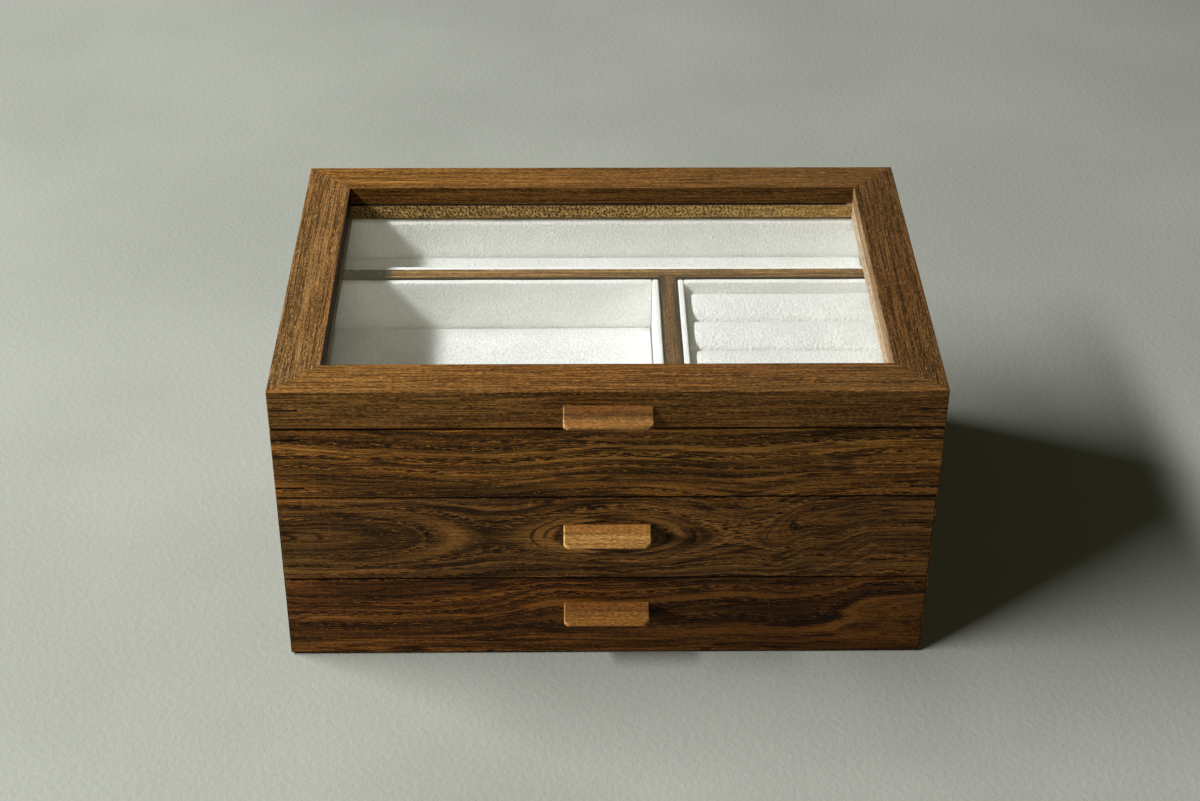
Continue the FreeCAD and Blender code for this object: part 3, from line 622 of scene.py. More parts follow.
def veined(shader, body, growth, fibres, tint, figure):
    """The body with broad lighter and darker sweeps, and with dark veins that come and go."""
    sweeps = streaks(shader, growth, SWEEP_RUN, SWEEP_WIDTH)
    body = shader.mix(1.0, body, shader.spread(sweeps, *SWEEP_LIMITS, *SWEEP_SHARES), "MULTIPLY")
    flow = streaks(shader, growth, VEIN_RUN, VEIN_WIDTH, MEDIUM_DETAIL)
    offset = shader.math("ABSOLUTE", shader.math("SUBTRACT", flow, NOISE_MIDDLE))
    lulls = streaks(shader, fibres, LULL_RUN, LULL_WIDTH)
    shown = shader.spread(lulls, *LULL_LIMITS, 0.0, figure["vein_share"])
    vein_mask = shader.math("MULTIPLY", shader.spread(offset, VEIN_EDGE, 0.0), shown)
    return shader.mix(vein_mask, body, shaded(tint, VEIN_SHARE))


def edged(shader, body, edges):
    """The body with the tint shares of its edges, which paint shade or light there."""
    for axis, middle, start, finish, shares in edges:
        offset = shader.math("SUBTRACT", shader.dot(shader.place(), Vector(axis) / MM), middle)
        edge_mask = shader.spread(shader.math("ABSOLUTE", offset), start, finish)
        body = shader.mix(edge_mask, body, shares, "MULTIPLY")
    return body


def wood(name, along, across, tint, figure, flowered=False, falloff_shares=(1.0, 1.0), edges=()):
    """Oiled open-pored hardwood: growth bands, streaks, fibres, rows of dark pores, and pale specks painted
    as glints.

    Flowered wood has the front's nests and climbs. The end shares paint a falloff of light along the board,
    paler at its left end, towards the window, and the edges are bands of painted shade or painted light:
    axis, middle, start and finish on both sides of the middle, and tint shares.
    """
    material, shader = new_material(name)
    run, side, depth = grain_axes(shader, along, across)
    ring = bent = bent_place(shader, run, side, depth, figure)
    if flowered:
        ring = nested(shader, run, climbed(shader, run, side, bent))
    growth = shader.combine(run, ring, depth)
    fibres = shader.combine(run, bent, depth)
    grit = streaks(shader, fibres, GRIT_RUN, GRIT_WIDTH)
    body = ground(shader, growth, fibres, grit, tint, figure)
    if "vein_share" in figure:
        body = veined(shader, body, growth, fibres, tint, figure)
    ring_count = shader.math("MULTIPLY", ring, 1 / figure["pitch"])
    rings = shader.line_noise(ring_count, MEDIUM_DETAIL, RING_ROUGHNESS)
    rows = shader.spread(rings, *ROW_LIMITS)
    dashes = streaks(shader, fibres, PORE_RUN, PORE_WIDTH)
    row_pores = shader.spread(rows, 0.0, 1.0, figure["pore_share"], figure["row_share"])
    pore_mask = shader.math("MULTIPLY", shader.spread(dashes, *PORE_LIMITS), row_pores)
    body = shader.mix(pore_mask, body, shaded(tint, PORE_SHARE))
    # Painted glints: pale specks along the pores, mostly in the rows
    gritty = shader.spread(grit, *GLINT_GRIT_LIMITS)
    glints = shader.math("MULTIPLY", shader.spread(dashes, *GLINT_LIMITS), gritty)
    row_glints = shader.spread(rows, 0.0, 1.0, GLINT_REST_SHARE, figure["glint_share"])
    body = shader.mix(shader.math("MULTIPLY", glints, row_glints), body, shaded(tint, GLINT_SHARE))
    # Painted light: paler at the board's left end, towards the window, and darker at its right
    body = shader.mix(1.0, body, shader.spread(run, -END_REACH, END_REACH, *falloff_shares), "MULTIPLY")
    height = shader.math("SUBTRACT", shader.math("MULTIPLY", grit, GRIT_HEIGHT_SHARE), pore_mask)
    shader.show(shader.principled(
        Base_Color=edged(shader, body, edges),
        Roughness=shader.spread(pore_mask, 0.0, 1.0, *WOOD_ROUGHNESS),
        Specular_IOR_Level=figure["gloss"],
        Normal=shader.bump(height, WOOD_BUMP),
    ))
    return material


def bead_ticks(shader, flow, lean):
    """Short dark ticks across the bead, evenly spaced at first and then jittered and broken up."""
    jitter = shader.texture(flow, BEAD_JITTER_LENGTHS, MEDIUM_DETAIL)
    breaks = shader.texture(flow, BEAD_BREAK_LENGTHS, FINE_DETAIL)
    even = shader.math("MULTIPLY", lean, 2 * math.pi / BEAD_TICK_PITCH)
    phase = shader.math("ADD", even, shader.math("MULTIPLY", jitter, BEAD_JITTER))
    ticks = shader.math("MULTIPLY", shader.math("SINE", phase), BEAD_TICK_SHARE)
    return shader.spread(shader.math("ADD", ticks, breaks), *BEAD_TICK_LIMITS)


def fleck_wood(name, along, across):
    """Quarter-sawn wood: golden, with short dark ticks that lean at one end and stand at the other."""
    material, shader = new_material(name)
    run, side, depth = grain_axes(shader, along, across)
    lean_share = shader.spread(run, -END_REACH, 0.0, BEAD_LEAN, 0.0)
    height = shader.math("SUBTRACT", side, BEAD_MIDDLE)
    lean = shader.math("ADD", run, shader.math("MULTIPLY", height, lean_share))
    flow = shader.combine(lean, side, depth)
    faded = shader.spread(run, 0.0, END_REACH, *BEAD_END_SHARES)
    tick_mask = shader.math("MULTIPLY", bead_ticks(shader, flow, lean), faded)
    clouds = shader.texture(flow, BEAD_GROUND_LENGTHS, RICH_DETAIL)
    body = shader.ramp(shader.spread(clouds, *NOISE_LIMITS), (
        (0.0, shaded(BEAD_TINT, BEAD_DEEP_SHARE)),
        (NOISE_MIDDLE, BEAD_TINT),
        (1.0, shaded(BEAD_TINT, BEAD_PALE_SHARE)),
    ))
    shader.show(shader.principled(
        Base_Color=shader.mix(tick_mask, body, shaded(BEAD_TINT, BEAD_TICK_DARK_SHARE)),
        Roughness=shader.spread(tick_mask, 0.0, 1.0, *BEAD_ROUGHNESS),
        Specular_IOR_Level=BEAD_GLOSS,
        Normal=shader.bump(shader.math("MULTIPLY", tick_mask, -1.0), WOOD_BUMP),
    ))
    return material


# Suede and felt
def suede(name, tint, deep_tint):
    """Short napped suede: clouds where the nap lies differently, over a fine nubby surface."""
    material, shader = new_material(name)
    place = shader.millimetres()
    clouds = shader.speckle(place, SUEDE_CLOUD, RICH_DETAIL)
    nubs = shader.speckle(place, SUEDE_NUB, MEDIUM_DETAIL, NUB_ROUGHNESS)
    nap = shader.speckle(place, SUEDE_NAP, FINE_DETAIL)
    lie = shader.blend((clouds, nubs, nap), SUEDE_LIE_SHARES)
    height = shader.math("ADD", nubs, shader.math("MULTIPLY", nap, NAP_HEIGHT_SHARE))
    shader.show(shader.principled(
        Base_Color=shader.mix(shader.spread(lie, *SUEDE_LIE_LIMITS), deep_tint, tint),
        Roughness=shader.spread(nap, *NOISE_LIMITS, *SUEDE_ROUGHNESS),
        Specular_IOR_Level=SUEDE_GLOSS,
        Sheen_Weight=SUEDE_SHEEN,
        Sheen_Roughness=SUEDE_SHEEN_ROUGHNESS,
        Normal=shader.bump(height, SUEDE_BUMP),
    ))
    return material


def felt():
    """Dark felt: fine hairs over soft tufts."""
    material, shader = new_material("felt")
    place = shader.millimetres()
    hairs = shader.speckle(place, FELT_HAIR, RICH_DETAIL, FELT_HAIR_ROUGHNESS)
    tufts = shader.speckle(place, FELT_TUFT, MEDIUM_DETAIL)
    lie = shader.blend((hairs, tufts), FELT_LIE_SHARES)
    shader.show(shader.principled(
        Base_Color=shader.mix(shader.spread(lie, *MOTTLE_LIMITS), FELT_DEEP_TINT, FELT_TINT),
        Roughness=shader.spread(hairs, *NOISE_LIMITS, *FELT_ROUGHNESS),
        Specular_IOR_Level=FELT_GLOSS,
        Sheen_Weight=FELT_SHEEN,
        Normal=shader.bump(hairs, FELT_BUMP),
    ))
    return material


# Glass, tape and brass
def glass():
    """Clear float glass with faint smears and a few specks of dust. Lamps shine through it."""
    material, shader = new_material("glass")
    place = shader.millimetres()
    smears = shader.texture(place, SMEAR_LENGTHS, RICH_DETAIL)
    dust = shader.cells(shader.vector("MULTIPLY", place, divided(DUST_PITCH, DUST_PITCH, DUST_PITCH)))
    speck = shader.math("MULTIPLY", shader.spread(dust["Distance"], *DUST_LIMITS), DUST_SHARE)
    pane = shader.principled(
        Base_Color=colour(GLASS_TINT),
        Roughness=shader.spread(smears, *SMEAR_LIMITS, 0.0, SMEAR_ROUGHNESS),
        IOR=GLASS_IOR,
        Transmission_Weight=1.0,
    )
    grit = shader.node("ShaderNodeBsdfDiffuse", {"Color": colour(SUEDE_TINT)}).outputs[0]
    dusty = shader.node("ShaderNodeMixShader", {0: speck, 1: pane, 2: grit}).outputs[0]
    rays = shader.node("ShaderNodeLightPath", {}).outputs
    passing = shader.math("MAXIMUM", rays["Is Shadow Ray"], rays["Is Diffuse Ray"])
    clear = shader.node("ShaderNodeBsdfTransparent", {"Color": colour(GLASS_SHADE)}).outputs[0]
    shader.show(shader.node("ShaderNodeMixShader", {0: passing, 1: dusty, 2: clear}).outputs[0])
    return material


def tape():
    """Painted shade: a dull black strip with a faint mottle under the glass's edge, standing in for the
    shadowed slit there. Along the right bead, which faces the window, it takes the bead's tint instead.
    """
    material, shader = new_material("tape")
    place = shader.millimetres()
    strip_mottle = shader.speckle(place, SHADE_STRIP_MOTTLE, RICH_DETAIL)
    black = shader.mix(shader.spread(strip_mottle, *SHADE_STRIP_MOTTLE_LIMITS), SHADE_STRIP_TINT, SHADE_STRIP_MOTTLE_TINT)
    # Along the right bead, which faces the window, the painted shade gives way to the bead's tint
    lit_band = shader.spread(shader.dot(place, X_AXIS), SHADE_STRIP_LIT_START, SHADE_STRIP_LIT_FINISH)
    shader.show(shader.principled(
        Base_Color=shader.mix(lit_band, black, RIGHT_BEAD_TINT),
        Roughness=shader.spread(strip_mottle, *NOISE_LIMITS, *TAPE_ROUGHNESS),
        Specular_IOR_Level=TAPE_GLOSS,
        Normal=shader.bump(strip_mottle, TAPE_BUMP),
    ))
    return material


def brass():
    """Satin brass: brushed along X, a little dull in patches."""
    material, shader = new_material("brass")
    place = shader.millimetres()
    brushing = shader.texture(place, BRUSHING_LENGTHS, MEDIUM_DETAIL)
    patches = shader.speckle(place, BRASS_PATCH, RICH_DETAIL)
    shader.show(shader.principled(
        Base_Color=shader.mix(shader.spread(patches, *BRASS_PATCH_LIMITS), BRASS_TINT, BRASS_DULL_TINT),
        Metallic=1.0,
        Roughness=shader.spread(brushing, *NOISE_LIMITS, *BRASS_ROUGHNESS),
        Normal=shader.bump(brushing, BRASS_BUMP),
    ))
    return material


def floor_paint():
    """Pale painted concrete: soft mottling and a fine pebbled surface."""
    material, shader = new_material("floor_paint")
    place = shader.millimetres()
    mottle = shader.speckle(place, FLOOR_MOTTLE, FLOOR_MOTTLE_DETAIL)
    pebbles = shader.speckle(place, FLOOR_PEBBLE, MEDIUM_DETAIL, NUB_ROUGHNESS)
    shader.show(shader.principled(
        Base_Color=shader.mix(shader.spread(mottle, *MOTTLE_LIMITS), FLOOR_DEEP_TINT, FLOOR_TINT),
        Roughness=shader.spread(pebbles, *NOISE_LIMITS, *FLOOR_ROUGHNESS),
        Specular_IOR_Level=FLOOR_GLOSS,
        Normal=shader.bump(pebbles, FLOOR_BUMP),
    ))
    return material


# Mesh forms
def node_limits(name):
    """A CAD node's lowest and highest corner, in millimetres."""
    low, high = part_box(name)
    return np.array(low) / MM, np.array(high) / MM


def cuts(low, high, radius, step):
    """Where a rounded side is divided: closely round its two ends, evenly between them."""
    steps = range(ROUND_STEPS, -1, -1)
    turn = [radius * (1 - math.tan(math.pi / 4 * index / ROUND_STEPS)) for index in steps]
    spans = max(1, math.ceil((high - low - 2 * radius) / step))
    middle = np.linspace(low + radius, high - radius, spans + 1)[1:-1]
    return [low + value for value in turn] + list(middle) + [high - value for value in reversed(turn)]


def box_skin(cuts_x, cuts_y, cuts_z):
    """A closed skin of quads over a box, with its vertices on the given cuts."""
    sides = (cuts_x, cuts_y, cuts_z)
    index = {}
    faces = []

    def vertex(spot):
        return index.setdefault(tuple(spot), len(index))

    for axis in range(3):
        first, second = [other for other in range(3) if other != axis]
        for end in (0, len(sides[axis]) - 1):
            for i in range(len(sides[first]) - 1):
                for j in range(len(sides[second]) - 1):
                    ring = []
                    for step_i, step_j in ((0, 0), (1, 0), (1, 1), (0, 1)):
                        spot = [0, 0, 0]
                        spot[axis] = end
                        spot[first] = i + step_i
                        spot[second] = j + step_j
                        ring.append(vertex(spot))
                    faces_out = (end != 0) == (axis != 1)
                    faces.append(ring if faces_out else ring[::-1])
    points = np.array([[sides[axis][spot[axis]] for axis in range(3)] for spot in index])
    return points, faces


def soft_box(low, high, radius, step):
    """A box skin whose edges and corners are rounded."""
    points, faces = box_skin(*[cuts(a, b, radius, step) for a, b in zip(low, high)])
    core = np.clip(points, low + radius, high - radius)
    reach = points - core
    length = np.linalg.norm(reach, axis=1, keepdims=True)
    return core + reach * radius / np.maximum(length, radius), faces


def wave(points, length):
    """A slow uneven swell between -1 and 1 over the points, the same each run."""
    turn = 2 * math.pi / length
    total = np.zeros(len(points))
    for direction, pace, start in WAVE_PARTS:
        total += np.sin(turn * (points @ np.array(direction)) * pace + start)
    return total / len(WAVE_PARTS)


def joined(forms):
    """Several skins as one list of points and one list of faces."""
    points = []
    faces = []
    for form_points, form_faces in forms:
        start = sum(len(part) for part in points)
        points.append(form_points)
        faces += [[start + corner for corner in face] for face in form_faces]
    return np.concatenate(points), faces


def soft_piece(name, form, node, material):
    """A new piece that stands for a CAD node and moves with that node's body."""
    points, faces = form
    mesh = bpy.data.meshes.new(name)
    mesh.from_pydata((points * MM).tolist(), [], faces)
    mesh.polygons.foreach_set("use_smooth", [True] * len(faces))
    mesh.materials.append(material)
    piece = bpy.data.objects.new(name, mesh)
    bpy.context.scene.collection.objects.link(piece)
    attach(piece, frame["nodes"][node]["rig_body"])
    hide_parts(node)
    soft_pieces.append(piece)
    return piece


# Lined trays
def wrapped(low, high, radius):
    """A board wrapped in suede: rounded all along, and a little uneven as a glued cover is."""
    points, faces = soft_box(low, high, radius, BOARD_STEP)
    rim_share = (points[:, 2] - low[2]) / (high[2] - low[2])
    points[:, 2] -= WRAP_WAVE * (1 + wave(points, WRAP_WAVE_LENGTH)) * rim_share
    return points, faces


def thin_board(low, high):
    return wrapped(low, high, RIM_ROUND_SHARE * min(high - low))


def tray_form(node, wall):
    """A floor board and four wall boards, the two side walls running the full depth."""
    low, high = node_limits(node)
    x0, y0, z0 = low
    x1, y1, z1 = high
    rest = z0 + TRAY_BASE
    spans = (
        ((x0, y0, z0), (x1, y1, rest)),
        ((x0, y0, rest), (x0 + wall, y1, z1)),
        ((x1 - wall, y0, rest), (x1, y1, z1)),
        ((x0 + wall, y0, rest), (x1 - wall, y0 + wall, z1)),
        ((x0 + wall, y1 - wall, rest), (x1 - wall, y1, z1)),
    )
    return joined([thin_board(np.array(start), np.array(end)) for start, end in spans])


def add_back_board(node, material):
    """The thick covered board at the back of the rear tray."""
    low, high = node_limits(node)
    soft_piece(node + "_suede", wrapped(low, high, BACK_BOARD_ROUND), node, material)


# Cushions
def cushion_form(node, round_radius, crown, end_power, side_power):
    """A crowned pad whose long sides are drawn in between its corners, ready for the simulation.

    The higher a power, the further the pad keeps its height towards its ends or its sides.
    """
    low, high = node_limits(node)
    low = low + (PAD_START_INSET, PAD_START_INSET, 0.0)
    high = high - (PAD_START_INSET, PAD_START_INSET, crown)
    points, faces = soft_box(low, high, round_radius, PAD_STEP)
    share = (points - (low + high) / 2) / ((high - low) / 2)
    arch = (1 - np.abs(share[:, 0]) ** end_power) * (1 - np.abs(share[:, 1]) ** side_power)
    lift_share = (share[:, 2] + 1) / 2
    points[:, 2] += crown * arch * lift_share
    points[:, 1] -= PAD_DRAW_IN * share[:, 1] * (1 - share[:, 0] ** 2)
    return points, faces


def evened(values, faces):
    """The values after each has been shared with its neighbours, which takes out small wrinkles."""
    pairs = np.array([pair for face in faces for pair in zip(face, face[1:] + face[:1])])
    counts = np.bincount(pairs[:, 0]).reshape(-1, 1)
    for _ in range(EVEN_ROUNDS):
        total = values.copy()
        np.add.at(total, pairs[:, 0], values[pairs[:, 1]])
        values = total / (1 + counts)
    return values


def plumped(form):
    """The pad after a short cloth simulation with air in it. Its underside stays where it rests."""
    points, faces = form
    scene = bpy.context.scene
    mesh = bpy.data.meshes.new("plump")
    mesh.from_pydata((points * SIM_SCALE).tolist(), [], faces)
    pad = bpy.data.objects.new("plump", mesh)
    scene.collection.objects.link(pad)
    held = pad.vertex_groups.new(name="held")
    rests = points[:, 2] < points[:, 2].min() + PAD_ROUND
    held.add(np.flatnonzero(rests).tolist(), 1.0, "REPLACE")
    cloth = pad.modifiers.new("cloth", "CLOTH")
    cloth.settings.vertex_group_mass = held.name
    cloth.settings.use_pressure = True
    cloth.settings.uniform_pressure_force = PLUMP_PRESSURE
    cloth.settings.effector_weights.gravity = 0.0
    cloth.point_cache.frame_end = SIM_FRAMES
    for step in range(1, SIM_FRAMES + 1):
        scene.frame_set(step)
    shaped = pad.evaluated_get(bpy.context.evaluated_depsgraph_get()).data
    moved = np.empty(points.size)
    shaped.vertices.foreach_get("co", moved)
    scene.frame_set(1)
    bpy.data.objects.remove(pad)
    shift = evened(moved.reshape(-1, 3) / SIM_SCALE - points, faces)
    length = np.linalg.norm(shift, axis=1, keepdims=True)
    return points + shift * PLUMP_LIMIT / np.maximum(length, PLUMP_LIMIT), faces


def fitted(form, node):
    """The form stretched in plan to just fill the place that its CAD node takes up."""
    points, faces = form
    low, high = node_limits(node)
    for axis in (0, 1):
        start, finish = points[:, axis].min(), points[:, axis].max()
        span = high[axis] - low[axis]
        points[:, axis] = low[axis] + (points[:, axis] - start) * span / (finish - start)
    return points, faces


def add_pad(node, material):
    form = fitted(plumped(cushion_form(node, PAD_ROUND, PAD_CROWN, PAD_END_POWER, PAD_SIDE_POWER)), node)
    soft_piece(node + "_suede", form, node, material)


def roll_form(node, crown):
    return fitted(plumped(cushion_form(node, ROLL_ROUND, crown, ROLL_END_POWER, ROLL_SIDE_POWER)), node)


def add_rolls(nodes, material):
    """The ring rolls, alike: one is simulated, and the rest are the same form moved to their places."""
    first_low, _ = node_limits(nodes[0])
    points, faces = roll_form(nodes[0], ROLL_CROWN)
    for node in nodes:
        low, _ = node_limits(node)
        form = (points + (low - first_low), faces)
        soft_piece(node + "_suede", form, node, material)


def add_strip(node, material):
    low, high = node_limits(node)
    crown = ROLL_CROWN * (high[1] - low[1]) / (high[0] - low[0])
    soft_piece(node + "_suede", roll_form(node, crown), node, material)


# Felt
def add_base_felt(material):
    low, high = node_limits("base_felt")
    points, faces = soft_box(low, high, FELT_ROUND, FELT_STEP)
    soft_piece("base_felt_cut", (points, faces), "base_felt", material)


def dome(centre, radius, bottom, top):
    """A low felt button with a rounded rim."""
    points = []
    faces = []
    for ring in range(BUMPER_RINGS + 1):
        angle = math.pi / 2 * ring / BUMPER_RINGS
        reach = radius * math.cos(angle) ** BUMPER_RIM_POWER
        height = bottom + (top - bottom) * math.sin(angle)
        for side in range(BUMPER_SIDES):
            turn = 2 * math.pi * side / BUMPER_SIDES
            points.append((centre[0] + reach * math.cos(turn), centre[1] + reach * math.sin(turn), height))
    for ring in range(BUMPER_RINGS):
        for side in range(BUMPER_SIDES):
            here = ring * BUMPER_SIDES + side
            beside = ring * BUMPER_SIDES + (side + 1) % BUMPER_SIDES
            faces.append([here, beside, beside + BUMPER_SIDES, here + BUMPER_SIDES])
    faces.append(list(range(BUMPER_SIDES))[::-1])
    return np.array(points), faces


def add_bumpers(material):
    low, high = node_limits("lid_bumpers")
    radius = (high[1] - low[1]) / 2
    y = (low[1] + high[1]) / 2
    domes = [dome((x, y), radius, low[2], high[2]) for x in (low[0] + radius, high[0] - radius)]
    soft_piece("lid_bumpers_felt", joined(domes), "lid_bumpers", material)


# What the CAD nodes wear
def dress(material, *names):
    for name in names:
        materials = frame["nodes"][name].data.materials
        materials.clear()
        materials.append(material)


def dress_divider(node, along, across, slanted, tint):
    """A divider board with painted shade along its two long top edges, where the gaps beside the trays fall
    in shade.
    """
    low, high = [Vector(limit).dot(Vector(across)) for limit in node_limits(node)]
    half = (high - low) / 2
    edge = (across, (low + high) / 2, half - DIVIDER_SHADE_DEPTH, half, DIVIDER_SHADE_SHARES)
    dress(wood(node + "_wood", along, slanted, tint, DIVIDER, edges=[edge]), node)


def dress_case():
    for node, tint in FRONT_TINTS.items():
        top = node_limits(node)[1][2]
        # Painted shade along the top of each front, under the gap above it
        edge = (Z_AXIS, 0.0, top - GAP_DEPTH, top, PAINTED_SHADE_SHARES)
        # Painted light falloff along each front, paler towards the window
        falloff_shares = LOWER_FALLOFF_SHARES if node == "lower_drawer_front" else FRONT_FALLOFF_SHARES
        dress(wood(node + "_wood", X_AXIS, Z_AXIS, tint, FIGURED, True, falloff_shares, [edge]), node)
    dress(wood("back_wood", X_AXIS, Z_AXIS, SIDE_TINT, FIGURED), "back_wall")
    dress(wood("side_wood", Y_AXIS, Z_AXIS, SIDE_TINT, FIGURED), "side_left", "side_right")
    inner = wood("inner_wood", X_AXIS, Y_AXIS, DRAWER_TINT, PLAIN)
    dress(inner, "base_panel", "drawer_shelf", "tray_floor")
    dress(wood("spline_wood", X_AXIS, Y_AXIS, SPLINE_TINT, PLAIN), "case_splines", "lid_splines")
    dress_divider("long_divider", X_AXIS, Y_AXIS, RAIL_ACROSS, LONG_DIVIDER_TINT)
    dress_divider("cross_divider", Y_AXIS, X_AXIS, STILE_ACROSS, CROSS_DIVIDER_TINT)


def dress_lid_frame():
    """The lid's rails and stiles, with painted shade on the inner faces of the rails and of the left stile,
    and painted light on the inner face of the right stile, which faces the window.
    """
    inner_x, inner_y = node_limits("lid_glass")[1][:2] - GLASS_LAP
    # Painted shade on the rails' inner faces, inside the lid's opening
    shaded_face = (Y_AXIS, 0.0, inner_y + INNER_SHADE_DEPTH, inner_y, RAIL_INNER_SHADE_SHARES)
    for node, tint in LID_RAIL_TINTS.items():
        rail = wood(
            node + "_wood", X_AXIS, RAIL_ACROSS, tint, SANDY,
            falloff_shares=LID_FALLOFF_SHARES, edges=[shaded_face],
        )
        dress(rail, node)
    # Painted shade on the left stile's inner face, which faces away from the window
    shaded_inner_face = (X_AXIS, 0.0, inner_x + INNER_SHADE_DEPTH, inner_x, PAINTED_SHADE_SHARES)
    left = wood("left_stile_wood", Y_AXIS, STILE_ACROSS, LEFT_STILE_TINT, SANDY, edges=[shaded_inner_face])
    dress(left, "lid_left_stile")
    # Painted light: the right stile's inner face, which faces the window, is paler
    lit_inner_face = (X_AXIS, 0.0, inner_x + LIT_FACE_DEPTH, inner_x, LIT_FACE_SHARES)
    right = wood("right_stile_wood", Y_AXIS, STILE_ACROSS, RIGHT_STILE_TINT, SANDY, edges=[lit_inner_face])
    dress(right, "lid_right_stile")


def dress_glazing():
    dress(fleck_wood("rail_bead_wood", X_AXIS, Z_AXIS), "glass_bead_front", "glass_bead_back")
    # The left bead's darker tint is painted shade
    dress(wood("shaded_left_bead_wood", Y_AXIS, Z_AXIS, SHADED_LEFT_BEAD_TINT, SMOOTH), "glass_bead_left")
    dress(wood("right_bead_wood", Y_AXIS, Z_AXIS, RIGHT_BEAD_TINT, SMOOTH), "glass_bead_right")
    dress(tape(), "glass_tape")
    dress(glass(), "lid_glass")


def dress_drawers():
    side = wood("drawer_side_wood", Y_AXIS, Z_AXIS, DRAWER_TINT, PLAIN)
    back = wood("drawer_back_wood", X_AXIS, Z_AXIS, DRAWER_TINT, PLAIN)
    bottom = wood("drawer_bottom_wood", X_AXIS, Y_AXIS, DRAWER_TINT, PLAIN)
    for drawer in ("upper_drawer", "lower_drawer"):
        dress(side, drawer + "_left_side", drawer + "_right_side")
        dress(back, drawer + "_back")
        dress(bottom, drawer + "_bottom")


def dress_pulls():
    for node, tint in PULL_TINTS.items():
        low, high = node_limits(node)
        reach = -low[1]
        # Painted shade in the scoop, near the board
        root = (Y_AXIS, 0.0, reach - PULL_LIP_DEPTH, reach - PULL_ROOT_DEPTH, PULL_ROOT_SHADE_SHARES)
        # Painted highlight along both ends of the pull
        lit_band = (X_AXIS, 0.0, high[0] - PULL_HIGHLIGHT_DEPTH, high[0], PULL_HIGHLIGHT_SHARES)
        dress(wood(node + "_wood", X_AXIS, PULL_ACROSS, tint, SATIN, edges=[root, lit_band]), node)


def dress_hinges():
    metal = brass()
    for side in ("hinge_left", "hinge_right"):
        dress(metal, side + "_case_leaf", side + "_lid_leaf", side + "_pin")
    dress(metal, "hinge_case_screws", "hinge_lid_screws")


def add_soft_goods():
    lining = suede("suede", SUEDE_TINT, SUEDE_DEEP_TINT)
    # The walls wear the paler copy of the suede, as painted light
    walls = suede("lit_wall_suede", LIT_WALL_SUEDE_TINT, LIT_WALL_SUEDE_DEEP_TINT)
    for node in ("rear_tray", "left_tray", "ring_tray"):
        soft_piece(node + "_suede", tray_form(node, TRAY_WALL), node, walls)
    for node in ("upper_drawer_tray", "lower_drawer_tray"):
        soft_piece(node + "_suede", tray_form(node, DRAWER_TRAY_WALL), node, walls)
    add_back_board("rear_back_board", walls)
    for node in ("rear_pad", "left_pad", "upper_drawer_pad", "lower_drawer_pad"):
        add_pad(node, lining)
    add_rolls(["ring_roll_1", "ring_roll_2", "ring_roll_3", "ring_roll_4"], lining)
    add_strip("ring_strip", lining)
    cloth = felt()
    add_base_felt(cloth)
    add_bumpers(cloth)


# Stage
def add_floor():
    half = FLOOR_HALF_WIDTH * MM
    mesh = bpy.data.meshes.new("floor")
    corners = [(-half, -half, 0), (half, -half, 0), (half, half, 0), (-half, half, 0)]
    mesh.from_pydata(corners, [], [(0, 1, 2, 3)])
    mesh.materials.append(floor_paint())
    floor = bpy.data.objects.new("floor", mesh)
    bpy.context.scene.collection.objects.link(floor)
    return floor


def add_lamp(name, azimuth_degrees, elevation_degrees, distance, width, height, power):
    """A flat soft lamp that faces the case from a bearing counted from +X towards +Y."""
    azimuth = math.radians(azimuth_degrees)
    elevation = math.radians(elevation_degrees)
    bearing = Vector((
        math.cos(azimuth) * math.cos(elevation),
        math.sin(azimuth) * math.cos(elevation),
        math.sin(elevation),
    ))
    data = bpy.data.lights.new(name, "AREA")
    data.shape = "RECTANGLE"
    data.size = width * MM
    data.size_y = height * MM
    data.energy = power
    lamp = bpy.data.objects.new(name, data)
    lamp.location = Vector((0.0, 0.0, LAMP_TARGET_HEIGHT * MM)) + bearing * distance * MM
    lamp.rotation_euler = bearing.to_track_quat("Z", "Y").to_euler()
    bpy.context.scene.collection.objects.link(lamp)
    return lamp


def light_group(name, pieces, state):
    """A collection of the pieces that a lamp lights alone, or that it leaves out."""
    group = bpy.data.collections.new(name)
    for piece in pieces:
        group.objects.link(piece)
    for member in group.collection_objects:
        member.light_linking.link_state = state
    return group


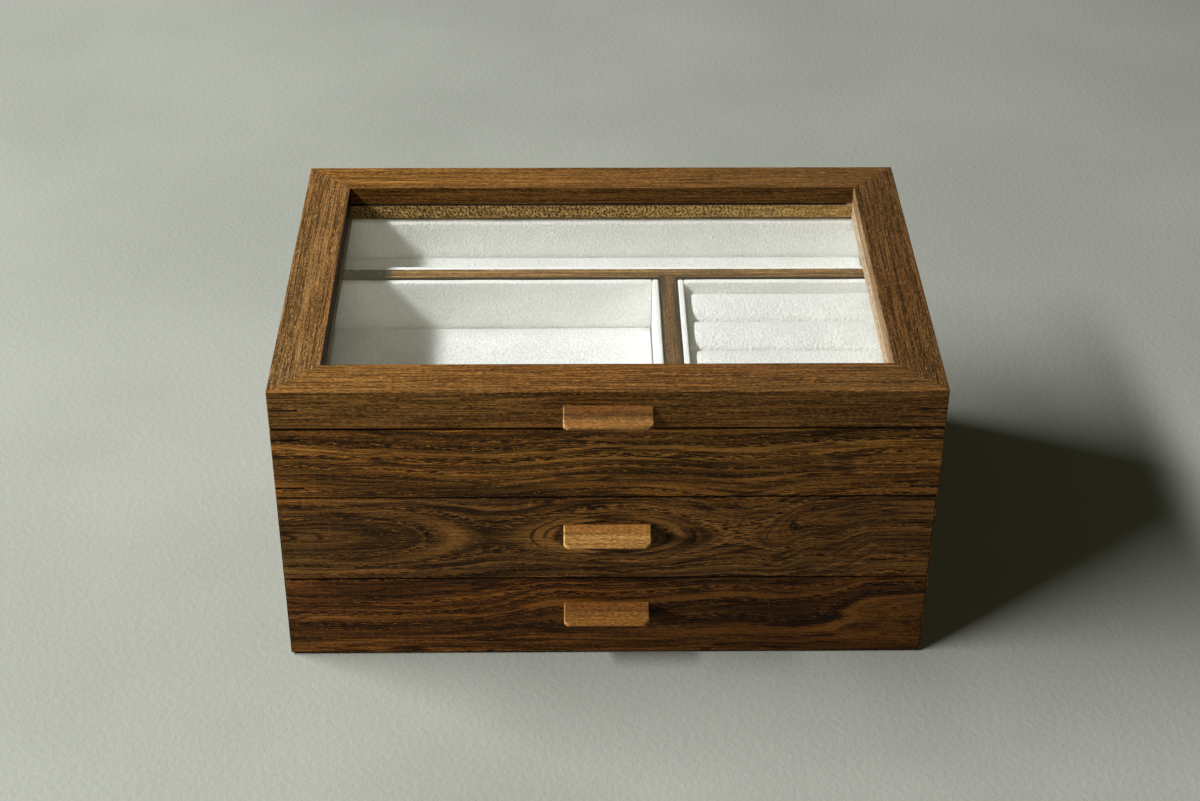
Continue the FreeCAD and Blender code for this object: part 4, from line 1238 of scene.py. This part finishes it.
def add_lamps(floor):
    """The lamps, each with what it lights.

    The window leaves out the fronts, which the side lamp lights together with the pulls. The glow is for the
    lining and felt alone. The card and the fill strips leave out the floor, so that the shadow stays dark.
    """
    fronts = [frame["nodes"][node] for node in FRONT_TINTS]
    pulls = [frame["nodes"][node] for node in PULL_TINTS]
    bare_floor = light_group("bare_floor", [floor], "EXCLUDE")
    window = add_lamp(
        "window", WINDOW_AZIMUTH_DEGREES, WINDOW_ELEVATION_DEGREES, WINDOW_DISTANCE,
        WINDOW_WIDTH, WINDOW_HEIGHT, WINDOW_POWER,
    )
    window.light_linking.receiver_collection = light_group("bare_fronts", fronts, "EXCLUDE")
    card = add_lamp(
        "card", CARD_AZIMUTH_DEGREES, CARD_ELEVATION_DEGREES, CARD_DISTANCE,
        CARD_WIDTH, CARD_HEIGHT, CARD_POWER,
    )
    card.data.color = CARD_TINT
    card.light_linking.receiver_collection = bare_floor
    glow = add_lamp(
        "glow", GLOW_AZIMUTH_DEGREES, GLOW_ELEVATION_DEGREES, GLOW_DISTANCE,
        GLOW_WIDTH, GLOW_HEIGHT, GLOW_POWER,
    )
    glow.data.color = GLOW_TINT
    glow.light_linking.receiver_collection = light_group("lined", soft_pieces, "INCLUDE")
    side = add_lamp(
        "side", SIDE_AZIMUTH_DEGREES, SIDE_ELEVATION_DEGREES, SIDE_DISTANCE,
        SIDE_WIDTH, SIDE_HEIGHT, SIDE_POWER,
    )
    side.light_linking.receiver_collection = light_group("fronts", fronts + pulls, "INCLUDE")
    for index, azimuth in enumerate(FILL_AZIMUTHS_DEGREES):
        fill = add_lamp(
            f"fill_{index + 1}", azimuth, FILL_ELEVATION_DEGREES, FILL_DISTANCE,
            FILL_WIDTH, FILL_HEIGHT, FILL_POWER,
        )
        fill.light_linking.receiver_collection = bare_floor


def add_world():
    """A dim room for light, and a pale backdrop where a view looks past the floor."""
    world = bpy.data.worlds.new("room")
    shader = Shader(world)
    room, backdrop = [
        shader.node("ShaderNodeBackground", {"Color": colour(tint), "Strength": 1.0}).outputs[0]
        for tint in (AMBIENT_TINT, BACKDROP_TINT)
    ]
    seen = shader.node("ShaderNodeLightPath", {}).outputs["Is Camera Ray"]
    both = shader.node("ShaderNodeMixShader", {0: seen, 1: room, 2: backdrop}).outputs[0]
    shader.node("ShaderNodeOutputWorld", {"Surface": both})
    bpy.context.scene.world = world


def add_camera():
    pitch = math.radians(CAMERA_PITCH_DEGREES)
    yaw = math.radians(CAMERA_YAW_DEGREES)
    roll = math.radians(CAMERA_ROLL_DEGREES)
    forward = Vector((math.sin(yaw) * math.cos(pitch), math.cos(yaw) * math.cos(pitch), -math.sin(pitch)))
    level_right = Vector((math.cos(yaw), -math.sin(yaw), 0.0))
    level_up = level_right.cross(forward)
    right = level_right * math.cos(roll) + level_up * math.sin(roll)
    up = level_up * math.cos(roll) - level_right * math.sin(roll)
    data = bpy.data.cameras.new("camera")
    data.sensor_fit = "HORIZONTAL"
    data.sensor_width = CAMERA_SENSOR
    data.lens = CAMERA_LENS
    camera = bpy.data.objects.new("camera", data)
    turn = Matrix((right, up, -forward)).transposed().to_4x4()
    camera.matrix_world = Matrix.Translation(Vector(CAMERA_PLACE) * MM) @ turn
    bpy.context.scene.collection.objects.link(camera)
    bpy.context.scene.camera = camera


dress_case()
dress_lid_frame()
dress_glazing()
dress_drawers()
dress_pulls()
dress_hinges()
add_soft_goods()
add_lamps(add_floor())
add_world()
add_camera()
bpy.context.scene.view_settings.view_transform = "Standard"
